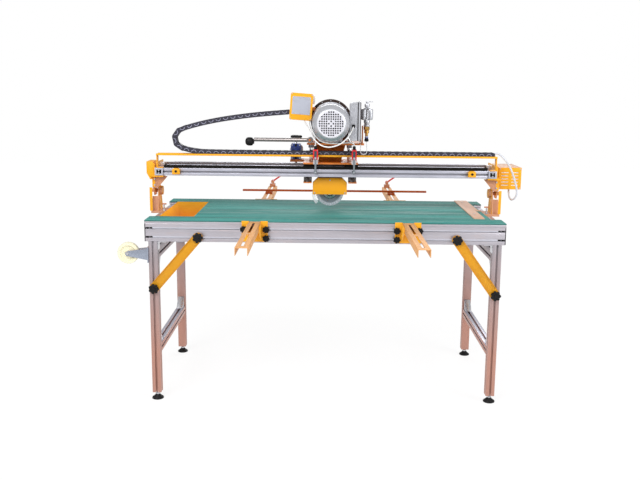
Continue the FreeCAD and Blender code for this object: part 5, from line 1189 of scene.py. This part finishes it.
def make_fan_cover():
    """The fan's cover: a smooth coned ring round a raised, perforated disc, dark behind."""
    _, detail, _ = settings()
    ring = turned_ring([(92.5, 0), (95, 0), (95, 14), (94.3, 20), (91, 30), (84, 42), (75, 52), (70, 57),
                        (68, 57), (73, 50), (88, 30), (92.5, 14)], 96)
    put("cover_ring", on_motor(ring, COVER_Y), "silver", "head", replaces="fan_cover", smooth=50)
    rim = turned_ring([(70, 56), (70.5, 59), (69.5, 62), (67, 64), (64.5, 64), (64.5, 62.6), (66, 61),
                       (67, 56)], 96)
    put("cover_rim", on_motor(rim, COVER_Y), "rim", "head", smooth=50)
    pitch = detail.hole_pitch / MM
    holes = [circle(4.1, (MOTOR_X + i * pitch, MOTOR_Z + j * pitch), 14)
             for j, most in enumerate(HOLE_ROWS, -5) for i in range(-most, most + 1)
             if (i, j) != (0, 0) and not abs(i) == abs(j) == 1]
    put("cover_disc", perforated(circle(65.5, MOTOR, 96), holes, -318.4, -316.6), "disc", "head")
    # painted shade inside the cover: a black disc behind the holes
    put("cover_shade_disc", on_motor(lathe([(66, 0), (66, 2)], 48), -306), "black", "head")
    screw = aimed(lathe([(3.4, -1), (3.4, 1.2), (2.6, 2)], 16), "x", (MOTOR_X + 93.4, -262, MOTOR_Z))
    screws = [leaned(screw, angle, (MOTOR_X, 0, MOTOR_Z)) for angle in (45, 135, 225, 315)]
    put("cover_screws", merged(*screws), "zinc", "head")
    # the fan behind the holes in black, as painted shade
    eased("motor_rotor", "black", bevel=0.4)


def make_head():
    """The head's plate, belt case, guard, blade and flap."""
    eased("head_plate", "orange", (("zinc", lambda c, n: c[2] < 1299.5),), 0.9,
          lambda low, high: low[0] > 185 and high[0] < 195 and low[2] > 1305)
    bracket = merged(slab((187, -121, 1310), (193, -71, 1402)), slab((172, -121, 1310), (190, -71, 1314)))
    put("tap_bracket", bracket, "rust", "head", bevel=0.8)
    eased("belt_case", "housing", bevel=1.2)
    rim = arc(108, MOTOR, np.linspace(-0.2, TURN / 2 + 0.2, 9))
    fasten("case_screws", socket_screw(3.4, 2.5), at_depth(rim, 9.8), "head")
    # the guard in a brighter copy of the yellow: painted light
    eased("blade_guard", "lit_yellow", bevel=0.8)
    corner_screws = at_depth([(24, 1108), (-58, 1040), (105, 1040)], -40.2)
    fasten("guard_screws", socket_screw(3.6, 2.6), corner_screws, "head")
    sweep = np.radians(np.linspace(176, 219, 15))
    flap = swept(band(94.6, 97, sweep), -36, -4, "y"), swept(band(79, 94.8, sweep), -35.4, -33.6, "y")
    put("curved_flap", merged(*flap), "clear", "head", bevel=0.5, replaces="splash_flap")
    eased("spindle_set", "steel", bevel=0.6)


def make_blade():
    """The diamond blade: a steel core with cooling holes and a segmented rim."""
    _, detail, _ = settings()
    step = TURN / detail.segments
    gap = 0.016
    outline, pads = [], []
    for a in np.arange(detail.segments) * step:
        outline += [arc(BLADE_RADIUS - 9, ARBOR, a + np.array([-gap, gap])),
                    arc(BLADE_RADIUS, ARBOR, [a + gap + 0.004, *np.linspace(a + 0.06, a + step - 0.06, 5),
                                              a + step - gap - 0.004])]
        angle = np.linspace(a + 0.012, a + step - 0.012, 7)
        pads.append(swept(band(BLADE_RADIUS - 16, BLADE_RADIUS - 0.2, angle), -1.4, 1.4, "y"))
    slots = [circle(2.6, centre, 14) for centre in circle(48, ARBOR, 6, 0.3)]
    put("blade_core", perforated(np.vstack(outline), [circle(10, ARBOR, 32)] + slots, -1.0, 1.0), "core",
        "saw_spindle", replaces="blade", slot="steel")
    put("blade_rim", merged(*pads), "edge", "saw_spindle", bevel=0.3)
    washer = turned_ring([(10.1, 0), (37, 0), (37, 2.5), (34, 4), (22, 4), (20, 8), (10.1, 8)], 48)
    put("blade_centre", aimed(washer, "-y", (ARBOR[0], -1.2, ARBOR[1])), "black", "saw_spindle")


BOX_X, BOX_Z, BOX_LEAN = -130, 1497, 4


def make_boxes():
    """The control box with its lid, its bare plate and the socket on its side."""

    def lean(*shapes):
        return leaned(merged(*shapes), BOX_LEAN, (BOX_X, 0, BOX_Z))

    def layer(width, height, radius, low, high, rise=0):
        return swept(rounded(width, height, radius, centre=(BOX_X, BOX_Z + rise)), low, high, "y")

    def heads(shape, across, y, up, rise=0):
        return lean(scattered(shape, "-y", product((BOX_X - across, BOX_X + across), [y],
                                                   (BOX_Z + rise - up, BOX_Z + rise + up))))

    put("control_case", lean(layer(112, 134, 6, -112, -40), layer(116, 138, 8, -125, -113)), "yellow", "head",
        bevel=1.2, replaces="control_box")
    put("control_seam", lean(layer(113, 135, 7, -113.5, -111.5)), "black", "head")
    put("control_plate", lean(layer(95, 91, 2.5, -126.2, -124.8, 6)), "label", "head", bevel=0.3)
    rivet = lathe([(1.9, 0), (1.6, 0.8), (0.8, 1.2)], 12)
    put("plate_rivets", heads(rivet, 43, -126, 41, 6), "zinc", "head")
    put("lid_screws", heads(socket_screw(2.8, 1.6), 52, -125, 63), "zinc", "head")
    socket = swept(rounded(24, 44, 3, centre=(-74, 1536)), -70, -52, "y")
    put("side_socket", lean(socket), "white", "head", bevel=0.8)


TAP_X, TAP_Y = 212, -96


def tap_part(profile, segments=32, across=0):
    """A profile turned about the tap's upright axis."""
    return aimed(lathe(profile, segments), "z", (TAP_X + across, TAP_Y, 0))


def make_tap():
    """The water tap: a twin-lobed body under its cap, a brass fitting, a blue ring and a black elbow."""
    lobe = [(7, 1431), (12.5, 1433), (15, 1439), (15.4, 1452), (14.4, 1461), (15.4, 1470), (15, 1483),
            (12.5, 1489), (7, 1491)]
    neck = [(14, 1397), (16, 1399), (16, 1407), (13.5, 1409), (13.5, 1415), (16, 1418), (16, 1426),
            (14, 1432)]
    body = [tap_part(lobe, across=-16.5), tap_part(lobe, across=16.5), tap_part([(13, 1436), (13, 1486)]),
            tap_part(neck), tap_part([(16, 1486), (16, 1494), (9, 1495), (9, 1499)], 6),
            tap_part([(10, 1498), (13.5, 1500), (13.5, 1511), (12, 1515)], 24)]
    put("tap_body", merged(*body), "silver", "head", bevel=0.7, replaces="water_tap", slot="chrome")
    front = lathe([(4.5, 0), (4.5, 3), (3.4, 4)], 16)
    end = lathe([(4, 0), (4, 4)], 16)
    dark = [slab((TAP_X - 0.9, TAP_Y - 15.5, 1433), (TAP_X + 0.9, TAP_Y - 12, 1489)),
            tap_part([(13.8, 1409), (13.8, 1410.5)]), tap_part([(13.8, 1414), (13.8, 1415.5)]),
            scattered(front, "-y", product((TAP_X - 17, TAP_X + 3), [TAP_Y - 14.8], [1487])),
            scattered(end, "-x", product([TAP_X - 31], [TAP_Y], (1483, 1439)))]
    put("tap_screws", merged(*dark), "lever", "head")
    brass = merged(tap_part([(12, 1380), (16, 1381), (16, 1393), (14, 1398)], 6),
                   tap_part([(7.5, 1349), (8, 1352), (8, 1362), (13, 1364), (13, 1378), (11, 1380)], 24))
    put("tap_brass", brass, "brass", "head")
    ring = merged(tap_part([(9, 1336), (9.5, 1337), (9.5, 1342), (9, 1343)]),
                  tap_part([(8, 1346), (8, 1349.5)]))
    put("tap_ring", ring, "blue", "head")
    put("tap_collar", tap_part([(7.4, 1342), (7.4, 1347)]), "white", "head")
    elbow = [(7, 1319.6), (10.5, 1321), (11.5, 1325), (11.5, 1330), (9, 1334), (9, 1336.4)]
    put("tap_elbow", tap_part(elbow), "black", "head")
    eased("tap_lever", "silver", bevel=0.8)


def make_lever():
    """The lift lever's bar and its round black knob."""
    eased("lift_lever", "lever", (), 1.0, lambda low, high: high[0] < -372)
    knob = lathe([(9, 0), (13, 1), (13, 5), (19, 8), (22, 15), (22, 29), (19.5, 38), (13, 44), (6, 46)], 40)
    put("lever_grip", aimed(knob, "-x", (-373, -135, 1317)), "black", "lift_lever", slot="black_plastic")


# --- operators -------------------------------------------------------------------------------


def make_frame_paint():
    """Every node of the frame gets its finish."""
    for finish, names in NODE_FINISH.items():
        for name in names:
            mesh = frame["nodes"][name].data
            mesh.materials.clear()
            mesh.materials.append(LIBRARY[finish])


def operator(work):
    """An operator class that runs one of the functions above."""
    name = work.__name__.removeprefix("make_")

    def execute(self, context):
        work()
        return {"FINISHED"}

    return type("CUTTER_OT_" + name, (bpy.types.Operator,), {
        "bl_idname": "cutter." + name, "bl_label": name.replace("_", " ").title(), "__doc__": work.__doc__,
        "bl_options": {"REGISTER", "UNDO"}, "execute": execute})


STEPS = [operator(work) for work in (
    make_camera, make_finishes, make_cords, make_frame_paint, make_pads, make_table, make_knobs, make_legs,
    make_clamps, make_bridge, make_chain, make_carriage, make_switches, make_motor, make_fan_cover, make_head,
    make_blade, make_boxes, make_tap, make_lever, make_stage)]


class CUTTER_PT_panel(bpy.types.Panel):
    """Lists the cutter's steps."""

    bl_label = "Tile Cutter"
    bl_space_type = "VIEW_3D"
    bl_region_type = "UI"
    bl_category = "Tile Cutter"

    def draw(self, context):
        for step in STEPS:
            self.layout.operator(step.bl_idname)


CLASSES = [CutterFinish, CutterDetail, CutterStage, *STEPS, CUTTER_PT_panel]


def register():
    for item in CLASSES:
        bpy.utils.register_class(item)
    bpy.types.Scene.cutter_finish = PointerProperty(type=CutterFinish)
    bpy.types.Scene.cutter_detail = PointerProperty(type=CutterDetail)
    bpy.types.Scene.cutter_stage = PointerProperty(type=CutterStage)


def unregister():
    del bpy.types.Scene.cutter_finish, bpy.types.Scene.cutter_detail, bpy.types.Scene.cutter_stage
    for item in reversed(CLASSES):
        bpy.utils.unregister_class(item)


def main():
    register()
    for step in STEPS:
        getattr(bpy.ops.cutter, step.bl_idname.removeprefix("cutter."))()


if __name__ == "__main__":
    main()
